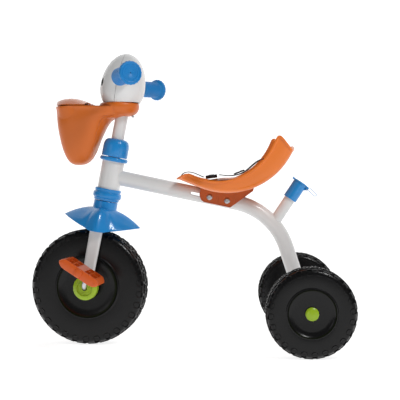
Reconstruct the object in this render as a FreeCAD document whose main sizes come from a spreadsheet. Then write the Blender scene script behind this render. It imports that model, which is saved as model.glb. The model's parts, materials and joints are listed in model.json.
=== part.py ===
import FreeCAD, Part
import Sketcher
import math
import os

# Children's tricycle: steel tube frame, tilted steering column with a fixed-drive front
# wheel, two free rear wheels, sliding bucket seat, and a beak-shaped basket under the
# handlebar cover. X runs from front to rear, Y across, Z up. The origin is on the floor,
# in the middle of the whole tricycle's length and width.

doc = FreeCAD.newDocument("tricycle")
sheet = doc.addObject("Spreadsheet::Sheet", "Sizes")
Vector = FreeCAD.Vector


class Size:
    """A number together with the sheet expression that gives it."""

    def __init__(self, value, text):
        self.value = float(value)
        self.text = text

    def __float__(self):
        return self.value

    def _join(self, other, sign, result):
        return Size(result, "(%s %s %s)" % (self.text, sign, as_size(other).text))

    def __add__(self, other):
        return self._join(other, "+", self.value + float(other))

    def __sub__(self, other):
        return self._join(other, "-", self.value - float(other))

    def __mul__(self, other):
        return self._join(other, "*", self.value * float(other))

    def __truediv__(self, other):
        return self._join(other, "/", self.value / float(other))

    def __radd__(self, other):
        return as_size(other) + self

    def __rsub__(self, other):
        return as_size(other) - self

    def __rmul__(self, other):
        return as_size(other) * self

    def __neg__(self):
        return Size(-self.value, "(0 - %s)" % self.text)


def as_size(number):
    return number if isinstance(number, Size) else Size(number, "(%.9g)" % number)


def sine(angle):
    return Size(math.sin(math.radians(float(angle))), "sin(%s)" % as_size(angle).text)


def cosine(angle):
    return Size(math.cos(math.radians(float(angle))), "cos(%s)" % as_size(angle).text)


def tangent(angle):
    return Size(math.tan(math.radians(float(angle))), "tan(%s)" % as_size(angle).text)


def root(number):
    return Size(math.sqrt(float(number)), "sqrt(%s)" % as_size(number).text)


cells = []


def cell(alias, value):
    """Puts one driving size in the sheet and returns it."""
    cells.append(alias)
    place = "B%d" % len(cells)
    sheet.set("A%d" % len(cells), alias.replace("_", " "))
    sheet.set(place, repr(value))
    sheet.setAlias(place, alias)
    return Size(value, "Sizes." + alias)


# ---- Driving sizes, millimetres and degrees ----

wheelbase = cell("wheelbase", 482.0)
rear_track = cell("rear_track", 380.0)
front_wheel_dia = cell("front_wheel_dia", 258.0)
front_wheel_width = cell("front_wheel_width", 72.0)
front_shoulder = cell("front_shoulder", 16.0)
front_ring_dia = cell("front_ring_dia", 138.0)
rear_wheel_dia = cell("rear_wheel_dia", 190.0)
rear_wheel_width = cell("rear_wheel_width", 60.0)
rear_shoulder = cell("rear_shoulder", 14.0)
rear_ring_dia = cell("rear_ring_dia", 102.0)
wheel_wall = cell("wheel_wall", 3.0)
dish_depth = cell("dish_depth", 7.0)
hub_wall = cell("hub_wall", 4.0)

axle_dia = cell("axle_dia", 10.0)
running_gap = cell("running_gap", 0.08)
seat_in_gap = cell("seat_in_gap", 0.05)
joint_gap = cell("joint_gap", 0.4)
bush_wall = cell("bush_wall", 3.0)
bush_flange = cell("bush_flange", 2.5)

steer_tilt = cell("steer_tilt", 10.7)
steer_rest = cell("steer_rest", 5.0)
head_tube_od = cell("head_tube_od", 50.0)
head_tube_wall = cell("head_tube_wall", 2.0)
head_tube_gap = cell("head_tube_gap", 64.0)
head_tube_length = cell("head_tube_length", 83.0)
steerer_od = cell("steerer_od", 28.0)
tube_wall = cell("tube_wall", 1.5)

main_tube_od = cell("main_tube_od", 34.0)
main_tube_rise = cell("main_tube_rise", 49.5)
main_tube_slope = cell("main_tube_slope", 11.9)
main_bend_radius = cell("main_bend_radius", 150.0)
rear_leg_slope = cell("rear_leg_slope", 18.0)
cross_tube_od = cell("cross_tube_od", 25.4)
cross_tube_gap = cell("cross_tube_gap", 17.0)

socket_arc_angle = cell("socket_arc_angle", 41.2)
socket_slope = cell("socket_slope", 33.6)
socket_reach = cell("socket_reach", 106.0)
socket_bore_dia = cell("socket_bore_dia", 23.0)
socket_stop_height = cell("socket_stop_height", 45.0)
socket_wall = cell("socket_wall", 1.2)
sleeve_length = cell("sleeve_length", 41.0)
sleeve_wall = cell("sleeve_wall", 3.0)
socket_lid_thickness = cell("socket_lid_thickness", 4.0)

ring_thickness = cell("ring_thickness", 9.0)
ring_dia = cell("ring_dia", 63.0)
bell_dia = cell("bell_dia", 58.0)
bell_height = cell("bell_height", 41.0)
collar_dia = cell("collar_dia", 64.0)
collar_height = cell("collar_height", 27.0)

fork_gap = cell("fork_gap", 7.5)
fork_leg_thickness = cell("fork_leg_thickness", 13.0)
fork_leg_top_width = cell("fork_leg_top_width", 29.0)
fork_leg_end_width = cell("fork_leg_end_width", 25.0)
fork_leg_drop = cell("fork_leg_drop", 15.0)
tyre_clearance = cell("tyre_clearance", 10.0)
crown_thickness = cell("crown_thickness", 5.0)
fender_length = cell("fender_length", 176.0)
fender_width = cell("fender_width", 140.0)
fender_wall = cell("fender_wall", 2.4)
fender_neck_dia = cell("fender_neck_dia", 54.0)
hub_cover_dia = cell("hub_cover_dia", 54.0)
hub_cover_wall = cell("hub_cover_wall", 2.0)

crank_arm = cell("crank_arm", 42.0)
crank_offset = cell("crank_offset", 16.5)
crank_bend = cell("crank_bend", 12.0)
pedal_length = cell("pedal_length", 98.0)
pedal_width = cell("pedal_width", 78.0)
pedal_thickness = cell("pedal_thickness", 20.0)
pedal_rest_tilt = cell("pedal_rest_tilt", 33.0)

bar_rise = cell("bar_rise", 178.0)
bar_od = cell("bar_od", 22.0)
bar_lift = cell("bar_lift", 14.8)
bar_half_straight = cell("bar_half_straight", 130.0)
bar_sweep = cell("bar_sweep", 30.4)
bar_bend_radius = cell("bar_bend_radius", 45.0)
bar_end_length = cell("bar_end_length", 72.0)
grip_start = cell("grip_start", 12.0)
grip_length = cell("grip_length", 68.0)
grip_dia = cell("grip_dia", 39.0)
grip_flange_dia = cell("grip_flange_dia", 52.0)

egg_radius = cell("egg_radius", 50.4)
egg_below_bar = cell("egg_below_bar", 14.0)
egg_upper_half = cell("egg_upper_half", 75.6)
egg_lower_half = cell("egg_lower_half", 56.0)
egg_forward = cell("egg_forward", 10.0)
egg_wall = cell("egg_wall", 2.4)
egg_seam = cell("egg_seam", 6.0)
egg_above_rim = cell("egg_above_rim", 8.5)

rim_below_bar = cell("rim_below_bar", 60.5)
basket_wall = cell("basket_wall", 3.0)
saucer_dia = cell("saucer_dia", 89.0)
saucer_back = cell("saucer_back", 66.5)
saucer_height = cell("saucer_height", 30.0)
lid_length = cell("lid_length", 76.0)
lid_half_width = cell("lid_half_width", 56.0)
lid_rise = cell("lid_rise", 17.0)
lid_wall = cell("lid_wall", 2.5)

seat_station = cell("seat_station", 247.7)
seat_travel = cell("seat_travel", 40.0)
seat_half_width = cell("seat_half_width", 112.0)
seat_radius = cell("seat_radius", 158.0)
seat_centre_back = cell("seat_centre_back", -16.4)
seat_centre_height = cell("seat_centre_height", 171.6)
seat_wall = cell("seat_wall", 3.5)
seat_hump = cell("seat_hump", 32.0)
bracket_cheek = cell("bracket_cheek", 8.0)
bolt_pitch = cell("bolt_pitch", 40.0)
bolt_dia = cell("bolt_dia", 6.0)
bolt_head_dia = cell("bolt_head_dia", 13.5)
bolt_head_height = cell("bolt_head_height", 3.6)
strap_width = cell("strap_width", 22.0)
strap_thickness = cell("strap_thickness", 1.8)

doc.recompute()

# Heights up the steering column, measured from the front axle, and widths across the fork.
crown_bottom = front_wheel_dia / 2 + tyre_clearance
head_tube_bottom = crown_bottom + head_tube_gap
head_tube_top = head_tube_bottom + head_tube_length
main_tube_height = head_tube_bottom + main_tube_rise
bar_height = head_tube_top + bar_rise
egg_centre_height = bar_height - egg_below_bar
rim_height = bar_height - rim_below_bar
leg_inside = front_wheel_width / 2 + fork_gap
leg_outside = leg_inside + fork_leg_thickness
fork_half_track = leg_inside + fork_leg_thickness / 2
crank_half_width = leg_outside + crank_offset
cross_tube_length = rear_track - rear_wheel_width - cross_tube_gap * 2

# ---- Frames: each is a placement expression that the pieces are hung on ----


class Frame:
    def __init__(self, text="", placement=None):
        self.text = text
        self.placement = placement or FreeCAD.Placement()

    def at(self, x, y, z, *turns):
        """The frame moved to a point of itself and then turned about its own axes."""
        axes = {"X": (1, 0, 0), "Y": (0, 1, 0), "Z": (0, 0, 1)}
        spots = [as_size(number) for number in (x, y, z)]
        turning = " * ".join(
            "rotation(vector(%d; %d; %d); %s)" % (axes[axis] + (as_size(angle).text,))
            for axis, angle in turns) or "rotation(vector(0; 0; 1); 0)"
        text = "placement(vector(%s); %s)" % ("; ".join(spot.text for spot in spots), turning)
        rotation = FreeCAD.Rotation()
        for axis, angle in turns:
            rotation = rotation.multiply(FreeCAD.Rotation(Vector(*axes[axis]), float(angle)))
        here = FreeCAD.Placement(Vector(*[spot.value for spot in spots]), rotation)
        joined = self.text + " * " + text if self.text else text
        return Frame(joined, self.placement.multiply(here))


HERE = Frame().at(0, 0, 0)

# The front wheel touches the floor while it is turned and leaning a little, so its axle
# stands slightly higher and its front reaches slightly further than its radius.
turned_x = cosine(steer_tilt) * sine(steer_rest)
turned_z = sine(steer_tilt) * sine(steer_rest)


def leaning_reach(side):
    flat = front_wheel_dia / 2 - front_shoulder
    edge = front_wheel_width / 2 - front_shoulder
    return flat * root(1 - side * side) + edge * side + front_shoulder


front_axle_x = (leaning_reach(turned_x) - wheelbase - rear_wheel_dia / 2) / 2
front_axle_z = leaning_reach(turned_z)
rear_axle_x = front_axle_x + wheelbase
rear_axle_z = rear_wheel_dia / 2

AXIS = HERE.at(front_axle_x, 0, front_axle_z, ("Y", steer_tilt))
STEER = AXIS.at(0, 0, 0, ("Z", -steer_rest))
UPRIGHT = STEER.at(0, 0, 0, ("Y", -steer_tilt))
joint_x = front_axle_x + main_tube_height * sine(steer_tilt)
joint_z = front_axle_z + main_tube_height * cosine(steer_tilt)
TUBE = HERE.at(joint_x, 0, joint_z, ("Y", main_tube_slope))
SEAT = TUBE.at(seat_station, 0, 0)
REAR = HERE.at(rear_axle_x, 0, rear_axle_z)

# Main tube: two straight runs that meet in one bend.
run_x = rear_axle_x - joint_x
run_z = rear_axle_z - joint_z
slopes = cosine(main_tube_slope + rear_leg_slope)
front_run = (run_x * cosine(rear_leg_slope) + run_z * sine(rear_leg_slope)) / slopes
rear_run = -(cosine(main_tube_slope) * run_z + sine(main_tube_slope) * run_x) / slopes
bend_turn = 90 - main_tube_slope - rear_leg_slope
bend_reach = main_bend_radius * tangent(bend_turn / 2)
bend_start = front_run - bend_reach

# The push-handle socket stands on the bend; its frame's Z runs up the socket.
arc_local = socket_arc_angle + main_tube_slope
SOCKET = TUBE.at(bend_start + main_bend_radius * cosine(arc_local), 0,
                 main_bend_radius * sine(arc_local) - main_bend_radius,
                 ("Y", socket_slope - main_tube_slope))

# ---- Ways of making a piece ----

parts = {}


def keep(label, thing, frame):
    """Names a finished sub-part, hangs it on its frame and lists it for export."""
    thing.Label = label
    thing.setExpression("Placement", frame.text)
    parts[label] = thing
    return thing


def bind(thing, **sizes):
    for name, size in sizes.items():
        thing.setExpression(name, as_size(size).text)


def cylinder(radius, height, frame=HERE):
    solid = doc.addObject("Part::Cylinder", "round")
    bind(solid, Radius=radius, Height=height)
    solid.setExpression("Placement", frame.text)
    return solid


def block(length, width, height, x=0, y=0, z=0, frame=HERE):
    """A box centred on x and y, standing on z."""
    solid = doc.addObject("Part::Box", "block")
    bind(solid, Length=length, Width=width, Height=height)
    corner = frame.at(x - as_size(length) / 2, y - as_size(width) / 2, z)
    solid.setExpression("Placement", corner.text)
    return solid


def fuse(*things):
    joined = doc.addObject("Part::MultiFuse", "fuse")
    joined.Shapes = list(things)
    return joined


def cut(base, *tools):
    removed = doc.addObject("Part::Cut", "cut")
    removed.Base = base
    removed.Tool = tools[0] if len(tools) == 1 else fuse(*tools)
    return removed


def common(*things):
    shared = doc.addObject("Part::MultiCommon", "common")
    shared.Shapes = list(things)
    return shared


def group(*things):
    several = doc.addObject("Part::Compound", "group")
    several.Links = list(things)
    return several


def tube(outer_radius, inner_radius, length, frame=HERE):
    return cut(cylinder(outer_radius, length, frame), cylinder(inner_radius, length, frame))


def origin_item(body, role):
    return [item for item in body.Origin.OriginFeatures if item.Role == role][0]


def arc_centre(start, end, radius, left):
    """Centre of the arc from start to end, on the left or right of the chord."""
    chord = end.sub(start)
    half = chord.Length / 2
    rise = math.sqrt(max(radius * radius - half * half, 0.0))
    normal = Vector(-chord.y, chord.x, 0).normalize()
    return start.add(end).multiply(0.5).add(normal.multiply(rise if left else -rise))


def outline_sketch(body, role, outline, closed=True):
    """A sketch through outline points (x, y) or (x, y, radius, left), where the last two
    make the way to the next point an arc with its centre left or right of the chord."""
    sketch = body.newObject("Sketcher::SketchObject", "outline")
    sketch.AttachmentSupport = [(origin_item(body, role), "")]
    sketch.MapMode = "FlatFace"
    spots = [Vector(float(spot[0]), float(spot[1]), 0) for spot in outline]
    count = len(outline) if closed else len(outline) - 1
    ends = []
    for index in range(count):
        here, there = spots[index], spots[(index + 1) % len(spots)]
        if len(outline[index]) == 2:
            line = sketch.addGeometry(Part.LineSegment(here, there), False)
            ends.append((line, 1, 2))
            continue
        radius, left = outline[index][2:]
        centre = arc_centre(here, there, float(radius), left)
        circle = Part.Circle(centre, Vector(0, 0, 1), float(radius))
        first = math.atan2(here.y - centre.y, here.x - centre.x)
        last = math.atan2(there.y - centre.y, there.x - centre.x)
        if not left:
            first, last = last, first
        arc = sketch.addGeometry(Part.ArcOfCircle(circle, first, last), False)
        ends.append((arc, 1, 2) if left else (arc, 2, 1))
        rule = sketch.addConstraint(Sketcher.Constraint("Radius", arc, float(radius)))
        sketch.setExpression("Constraints[%d]" % rule, as_size(radius).text)
    for index in range(count if closed else count - 1):
        here, there = ends[index], ends[(index + 1) % count]
        sketch.addConstraint(Sketcher.Constraint("Coincident", here[0], here[2],
                                                 there[0], there[1]))
    for index, spot in enumerate(outline):
        item, end = (ends[index][0], ends[index][1]) if index < count else \
            (ends[index - 1][0], ends[index - 1][2])
        for kind, number in (("DistanceX", spot[0]), ("DistanceY", spot[1])):
            rule = sketch.addConstraint(
                Sketcher.Constraint(kind, -1, 1, item, end, float(number)))
            sketch.setExpression("Constraints[%d]" % rule, as_size(number).text)
    return sketch


def circle_sketch(body, role, radius):
    sketch = body.newObject("Sketcher::SketchObject", "circle")
    sketch.AttachmentSupport = [(origin_item(body, role), "")]
    sketch.MapMode = "FlatFace"
    ring = sketch.addGeometry(Part.Circle(Vector(0, 0, 0), Vector(0, 0, 1), float(radius)))
    sketch.addConstraint(Sketcher.Constraint("Coincident", ring, 3, -1, 1))
    rule = sketch.addConstraint(Sketcher.Constraint("Radius", ring, float(radius)))
    sketch.setExpression("Constraints[%d]" % rule, as_size(radius).text)
    return sketch


def turned(outline):
    """A body turned about its own Z axis from (radius, height) points."""
    body = doc.addObject("PartDesign::Body", "turned")
    sketch = outline_sketch(body, "XZ_Plane", outline)
    revolution = body.newObject("PartDesign::Revolution", "revolution")
    revolution.Profile = sketch
    revolution.ReferenceAxis = (sketch, ["V_Axis"])
    revolution.Angle = 360
    return body


def plate(role, outline, thickness):
    """A body padded both ways from one of its own planes."""
    body = doc.addObject("PartDesign::Body", "plate")
    sketch = outline_sketch(body, role, outline)
    pad = body.newObject("PartDesign::Pad", "pad")
    pad.Profile = sketch
    pad.Midplane = True
    bind(pad, Length=thickness)
    return body


def bent_bar(path_role, path, section_role, radius, bore=None):
    """A round bar or tube that follows a path from its body's origin."""
    body = doc.addObject("PartDesign::Body", "bar")
    route = outline_sketch(body, path_role, path, closed=False)
    features = []
    kinds = [("PartDesign::AdditivePipe", radius)]
    if bore is not None:
        kinds.append(("PartDesign::SubtractivePipe", bore))
    for kind, size in kinds:
        section = circle_sketch(body, section_role, size)
        pipe = body.newObject(kind, "pipe")
        pipe.Profile = section
        pipe.Spine = (route, [])
        features.append(pipe)
        doc.recompute()
    return body, features


def skin_solid(outer, inner):
    """A closed solid between two grids of points, with smooth faces and ruled edges."""
    faces = []
    surfaces = []
    for rows in (outer, inner):
        surface = Part.BSplineSurface()
        surface.interpolate(rows)
        surfaces.append(surface)
        faces.append(surface.toShape())
    for side in range(2):
        for curve in ("uIso", "vIso"):
            edges = []
            for surface in surfaces:
                low, high, start, stop = surface.bounds()
                value = (low, high)[side] if curve == "uIso" else (start, stop)[side]
                edges.append(getattr(surface, curve)(value).toShape())
            faces.append(Part.makeRuledSurface(edges[0], edges[1]))
    shell = Part.makeShell(faces)
    shell.sewShape()
    solid = Part.makeSolid(shell)
    if solid.Volume < 0:
        solid.reverse()
    return solid


def shaped(shape):
    thing = doc.addObject("Part::Feature", "shaped")
    thing.Shape = shape
    return thing


SIDES = (("left", -1), ("right", 1))
ACROSS = {-1: ("X", 90), 1: ("X", -90)}

# ---- Wheels: blow-moulded hollow plastic ----


def wheel(label, dia, width, shoulder, ring, bore, frame):
    rim = dia / 2
    half = width / 2
    hub = bore + hub_wall
    dish = half - dish_depth
    ramp = ring / 2 - dish_depth

    def half_outline(sign):
        return [(bore, dish * sign), (ramp, dish * sign), (ring / 2, half * sign)]

    outline = half_outline(-1)
    outline += [(rim - shoulder, -half, shoulder, True), (rim, shoulder - half)]
    outline += [(rim, half - shoulder, shoulder, True), (rim - shoulder, half)]
    outline += list(reversed(half_outline(1)))
    inner_half = half - wheel_wall
    inner_dish = dish - wheel_wall
    inner_rim = rim - wheel_wall
    inner_curve = shoulder - wheel_wall
    hollow = [(hub, -inner_dish), (ramp, -inner_dish), (ring / 2 + 1, -inner_half),
              (inner_rim - inner_curve, -inner_half, inner_curve, True),
              (inner_rim, inner_curve - inner_half),
              (inner_rim, inner_half - inner_curve, inner_curve, True),
              (inner_rim - inner_curve, inner_half), (ring / 2 + 1, inner_half),
              (ramp, inner_dish), (hub, inner_dish)]
    return keep(label, cut(turned(outline), turned(hollow)), frame)


axle_radius = axle_dia / 2
front_half = front_wheel_width / 2
rear_half = rear_wheel_width / 2
front_dish = front_half - dish_depth
rear_dish = rear_half - dish_depth
bush_radius = axle_radius + running_gap + bush_wall
bush_hole = bush_radius + seat_in_gap

FRONT_HUB = STEER.at(0, 0, 0, ("X", -90))
wheel("front_wheel", front_wheel_dia, front_wheel_width, front_shoulder, front_ring_dia,
      axle_radius + seat_in_gap, FRONT_HUB)
for side, sign in SIDES:
    wheel("rear_wheel_" + side, rear_wheel_dia, rear_wheel_width, rear_shoulder,
          rear_ring_dia, bush_hole, REAR.at(0, rear_track / 2 * sign, 0, ACROSS[sign]))

# Spacers keep the front wheel in the middle of the fork.
spacer_length = leg_inside - front_dish - joint_gap * 2


def spacer(sign):
    turn = ACROSS[sign]
    return tube(axle_radius + hub_wall, axle_radius + seat_in_gap, spacer_length,
                HERE.at(0, (front_dish + joint_gap) * sign, 0, turn))


keep("wheel_spacers", group(spacer(-1), spacer(1)), STEER)

# ---- Rear axle: plain rod in a welded cross tube, wheels on flanged plastic bushes ----

nut_thickness = 1.5
axle_set_back = 1
axle_half = rear_track / 2 + rear_half - axle_set_back
keep("rear_axle", cylinder(axle_radius, axle_half * 2),
     REAR.at(0, -axle_half, 0, ("X", -90)))
cross_bore = cross_tube_od / 2 - tube_wall
keep("cross_tube", tube(cross_tube_od / 2, cross_bore, cross_tube_length),
     REAR.at(0, -cross_tube_length / 2, 0, ("X", -90)))
plug_sleeve = 15
plug_flange = 3
bush_rim = 4
bush_sleeve = 14
nut_rim = 4
cap_skirt = 1.4
cap_dome = 2.6
cap_top = 2
axle_nuts = []
for side, sign in SIDES:
    plug = turned([(axle_radius + seat_in_gap, -plug_sleeve),
                   (cross_bore - seat_in_gap, -plug_sleeve),
                   (cross_bore - seat_in_gap, 0), (cross_tube_od / 2, 0),
                   (cross_tube_od / 2, plug_flange), (axle_radius + seat_in_gap, plug_flange)])
    keep("cross_tube_plug_" + side, plug,
         REAR.at(0, cross_tube_length / 2 * sign, 0, ACROSS[sign]))

    def bush(direction):
        bore = axle_radius + running_gap
        flange = bush_radius + bush_rim
        face = rear_dish
        shape = turned([(bore, face - bush_sleeve), (bush_radius, face - bush_sleeve),
                        (bush_radius, face), (flange, face),
                        (flange, face + bush_flange), (bore, face + bush_flange)])
        shape.setExpression("Placement", HERE.at(0, 0, 0, ("X", 90 - 90 * direction)).text)
        return shape

    centre = REAR.at(0, rear_track / 2 * sign, 0, ACROSS[sign])
    keep("wheel_bushes_" + side, group(bush(-1), bush(1)), centre)
    cap_inside = bush_radius + bush_rim + joint_gap
    cap_radius = cap_inside + cap_skirt
    cap = turned([(cap_inside, rear_dish + seat_in_gap), (cap_radius, rear_dish + seat_in_gap),
                  (cap_radius, rear_half - 1), (cap_radius - 3, rear_half + cap_dome - 1.2),
                  (0, rear_half + cap_dome), (0, rear_half + cap_dome - cap_top),
                  (cap_inside, rear_half - 1.4)])
    keep("rear_cap_" + side, cap, centre)
    nut_at = rear_track / 2 + rear_dish + bush_flange + joint_gap
    axle_nuts.append(tube(axle_radius + nut_rim, axle_radius + seat_in_gap, nut_thickness,
                          HERE.at(0, nut_at * sign, 0, ACROSS[sign])))
keep("axle_push_nuts", group(*axle_nuts), REAR)

# ---- Frame: head tube, bent main tube and push-handle socket, welded ----

head_radius = head_tube_od / 2
head_bore = head_radius - head_tube_wall
steerer_radius = steerer_od / 2
steerer_hole = steerer_radius + running_gap
keep("head_tube", tube(head_radius, head_bore, head_tube_top - head_tube_bottom),
     AXIS.at(0, 0, head_tube_bottom))

upper_sleeve = 18
upper_bush = turned([
    (steerer_hole, -upper_sleeve), (head_bore - seat_in_gap, -upper_sleeve),
    (head_bore - seat_in_gap, 0), (ring_dia / 2 - 2, 0), (ring_dia / 2, 2),
    (ring_dia / 2, ring_thickness - 2), (ring_dia / 2 - 2, ring_thickness),
    (steerer_hole, ring_thickness)])
keep("upper_head_bush", upper_bush, AXIS.at(0, 0, head_tube_top))

collar_base = 7
collar_lip = head_radius + seat_in_gap
lower_bush = turned([
    (steerer_hole, 0), (collar_dia / 2 - 4, 0),
    (collar_dia / 2 - 3, collar_base - 2), (collar_dia / 2, collar_height / 2 - 3),
    (collar_dia / 2, collar_height / 2 + 2), (collar_dia / 2 - 4, collar_height / 2 + 6),
    (collar_dia / 2 - 4, collar_height), (collar_lip, collar_height),
    (collar_lip, collar_base - seat_in_gap), (head_bore - seat_in_gap, collar_base - seat_in_gap),
    (head_bore - seat_in_gap, collar_base + 14), (steerer_hole, collar_base + 14)])
keep("lower_head_bush", lower_bush, AXIS.at(0, 0, head_tube_bottom - collar_base))

main_radius = main_tube_od / 2
path = [(0, 0), (bend_start, 0, main_bend_radius, False),
        (front_run + bend_reach * cosine(bend_turn), -bend_reach * sine(bend_turn)),
        (front_run + rear_run * cosine(bend_turn), -rear_run * sine(bend_turn))]
main_body, _ = bent_bar("XZ_Plane", path, "YZ_Plane", main_radius, main_radius - tube_wall)
TILT_IN_TUBE = HERE.at(0, 0, 0, ("Y", steer_tilt - main_tube_slope))
head_cope = cylinder(head_radius, head_tube_od * 2, TILT_IN_TUBE.at(0, 0, -head_tube_od))
axle_cope = cylinder(cross_tube_od / 2, main_tube_od * 2,
                     HERE.at(path[3][0], -main_tube_od, path[3][1], ("X", -90)))
slot_radius = bolt_dia / 2 + joint_gap
slot_front = seat_station - bolt_pitch / 2 - seat_travel
slot_back = seat_station + bolt_pitch / 2
slot_ends = [cylinder(slot_radius, main_tube_od * 2, HERE.at(x, -main_tube_od, 0, ("X", -90)))
             for x in (slot_front, slot_back)]
slot_middle = block(slot_back - slot_front, main_tube_od * 2, slot_radius * 2,
                    (slot_front + slot_back) / 2, 0, -slot_radius)
socket_radius = socket_bore_dia / 2 + socket_wall
keep("main_tube", cut(main_body, head_cope, axle_cope, slot_middle, *slot_ends), TUBE)

# The socket's foot is coped to the bend: a short straight cutter lies along the bend there.
stub_foot = main_radius * 0.6
bend_cutter = doc.addObject("Part::Torus", "bend_cutter")
bind(bend_cutter, Radius1=main_bend_radius, Radius2=main_radius)
from_bend = main_bend_radius * cosine(90 - socket_arc_angle - socket_slope)
past_bend = main_bend_radius * sine(90 - socket_arc_angle - socket_slope)
bend_cutter.setExpression("Placement",
                          HERE.at(-past_bend, 0, -from_bend, ("X", 90)).text)
stop_width = 1.2
stub = cylinder(socket_radius, socket_reach - stub_foot, HERE.at(0, 0, stub_foot))
handle_bore = cylinder(socket_bore_dia / 2, socket_reach, HERE.at(0, 0, socket_stop_height))
stub_bore = cylinder(socket_bore_dia / 2 - stop_width, socket_reach)
keep("socket_tube", cut(stub, handle_bore, stub_bore, bend_cutter), SOCKET)

sleeve_radius = socket_radius + seat_in_gap + sleeve_wall
sleeve_bottom = socket_reach - sleeve_length + wheel_wall
sleeve_rim = sleeve_bottom + sleeve_length
ear = plate("XZ_Plane", [(sleeve_radius - 1, sleeve_length - 9),
                         (sleeve_radius + 4, sleeve_length - 5),
                         (sleeve_radius + 4, sleeve_length), (sleeve_radius - 1, sleeve_length)], 8)
lip_radius = socket_bore_dia / 2 + 0.6
sleeve = turned([(socket_radius + seat_in_gap, 0), (sleeve_radius, 0),
                 (sleeve_radius, sleeve_length), (lip_radius, sleeve_length),
                 (lip_radius, sleeve_length - wheel_wall + seat_in_gap),
                 (socket_radius + seat_in_gap, sleeve_length - wheel_wall + seat_in_gap)])
hinge_out = sleeve_radius + 4
hinge_drop = 2.5
pin_radius = 1.2
HINGE_IN_SLEEVE = HERE.at(hinge_out, 0, sleeve_length - hinge_drop)
lug = cylinder(2.6, 8, HINGE_IN_SLEEVE.at(0, -4, 0, ("X", -90)))
lug_hole = cylinder(pin_radius + seat_in_gap, 20, HINGE_IN_SLEEVE.at(0, -10, 0, ("X", -90)))
keep("socket_sleeve", cut(fuse(sleeve, ear, lug), lug_hole), SOCKET.at(0, 0, sleeve_bottom))
keep("socket_hinge_pin", cylinder(pin_radius, 16),
     SOCKET.at(hinge_out, -8, sleeve_rim - hinge_drop, ("X", -90)))

# ---- Socket lid: a plug that swings on the pin, with a thin tether strap ----

lid_radius = sleeve_radius + 0.8
lid_bottom = joint_gap
plug_radius = socket_bore_dia / 2 - 1.2
socket_lid = turned([
    (0, lid_bottom - 3), (plug_radius - 1.5, lid_bottom - 3), (plug_radius, lid_bottom),
    (lid_radius, lid_bottom), (lid_radius, lid_bottom + socket_lid_thickness - 1),
    (lid_radius - 1, lid_bottom + socket_lid_thickness),
    (0, lid_bottom + socket_lid_thickness)])
thumb = plate("XZ_Plane", [(-lid_radius - 4, lid_bottom), (-lid_radius + 2, lid_bottom),
                           (-lid_radius + 2, lid_bottom + 3), (-lid_radius - 4, lid_bottom + 5)],
              12)
arm_radius = 2.6
arm_width = 3.5
arm_at = 4 + joint_gap + arm_width / 2
arms = []
for sign in (-1, 1):
    start = HERE.at(hinge_out, arm_at * sign - arm_width / 2, -hinge_drop)
    arms.append(cylinder(arm_radius, arm_width, start.at(0, 0, 0, ("X", -90))))
    arms.append(block(hinge_out - lid_radius + 8, arm_width, socket_lid_thickness - 1,
                      (hinge_out + lid_radius - 5) / 2, arm_at * sign, lid_bottom))
    arms.append(block(arm_radius * 2, arm_width, hinge_drop + lid_bottom + 2, hinge_out,
                      arm_at * sign, -hinge_drop))
pin_hole = cylinder(pin_radius + running_gap, 30,
                    HERE.at(hinge_out, -15, -hinge_drop, ("X", -90)))
room = cut(cylinder(lid_radius + 20, 30, HERE.at(0, 0, lid_bottom - 30)),
           block(40, 30, 60, hinge_out - 3.4 + 20, 0, -40))
keep("socket_lid", cut(fuse(socket_lid, thumb, cut(fuse(*arms), room)), pin_hole),
     SOCKET.at(0, 0, sleeve_rim))
tether_reach = 22
tether_gap = 8
tether_width = 5
tether_end = common(
    tube(tether_gap / 2, tether_gap / 2 - 1, tether_width,
         HERE.at(tether_reach, -tether_width / 2, -tether_gap / 2, ("X", -90))),
    block(tether_gap, tether_width, tether_gap * 2, tether_reach + tether_gap / 2, 0,
          -tether_gap * 1.5))
tether_legs = [block(tether_reach, tether_width, 1, tether_reach / 2, 0, z)
               for z in (-1, -tether_gap)]
keep("socket_tether", fuse(tether_end, *tether_legs),
     SOCKET.at(hinge_out + arm_radius + 0.4, 0, sleeve_rim + 1, ("Y", 10)))

# ---- Fork ----

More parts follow.
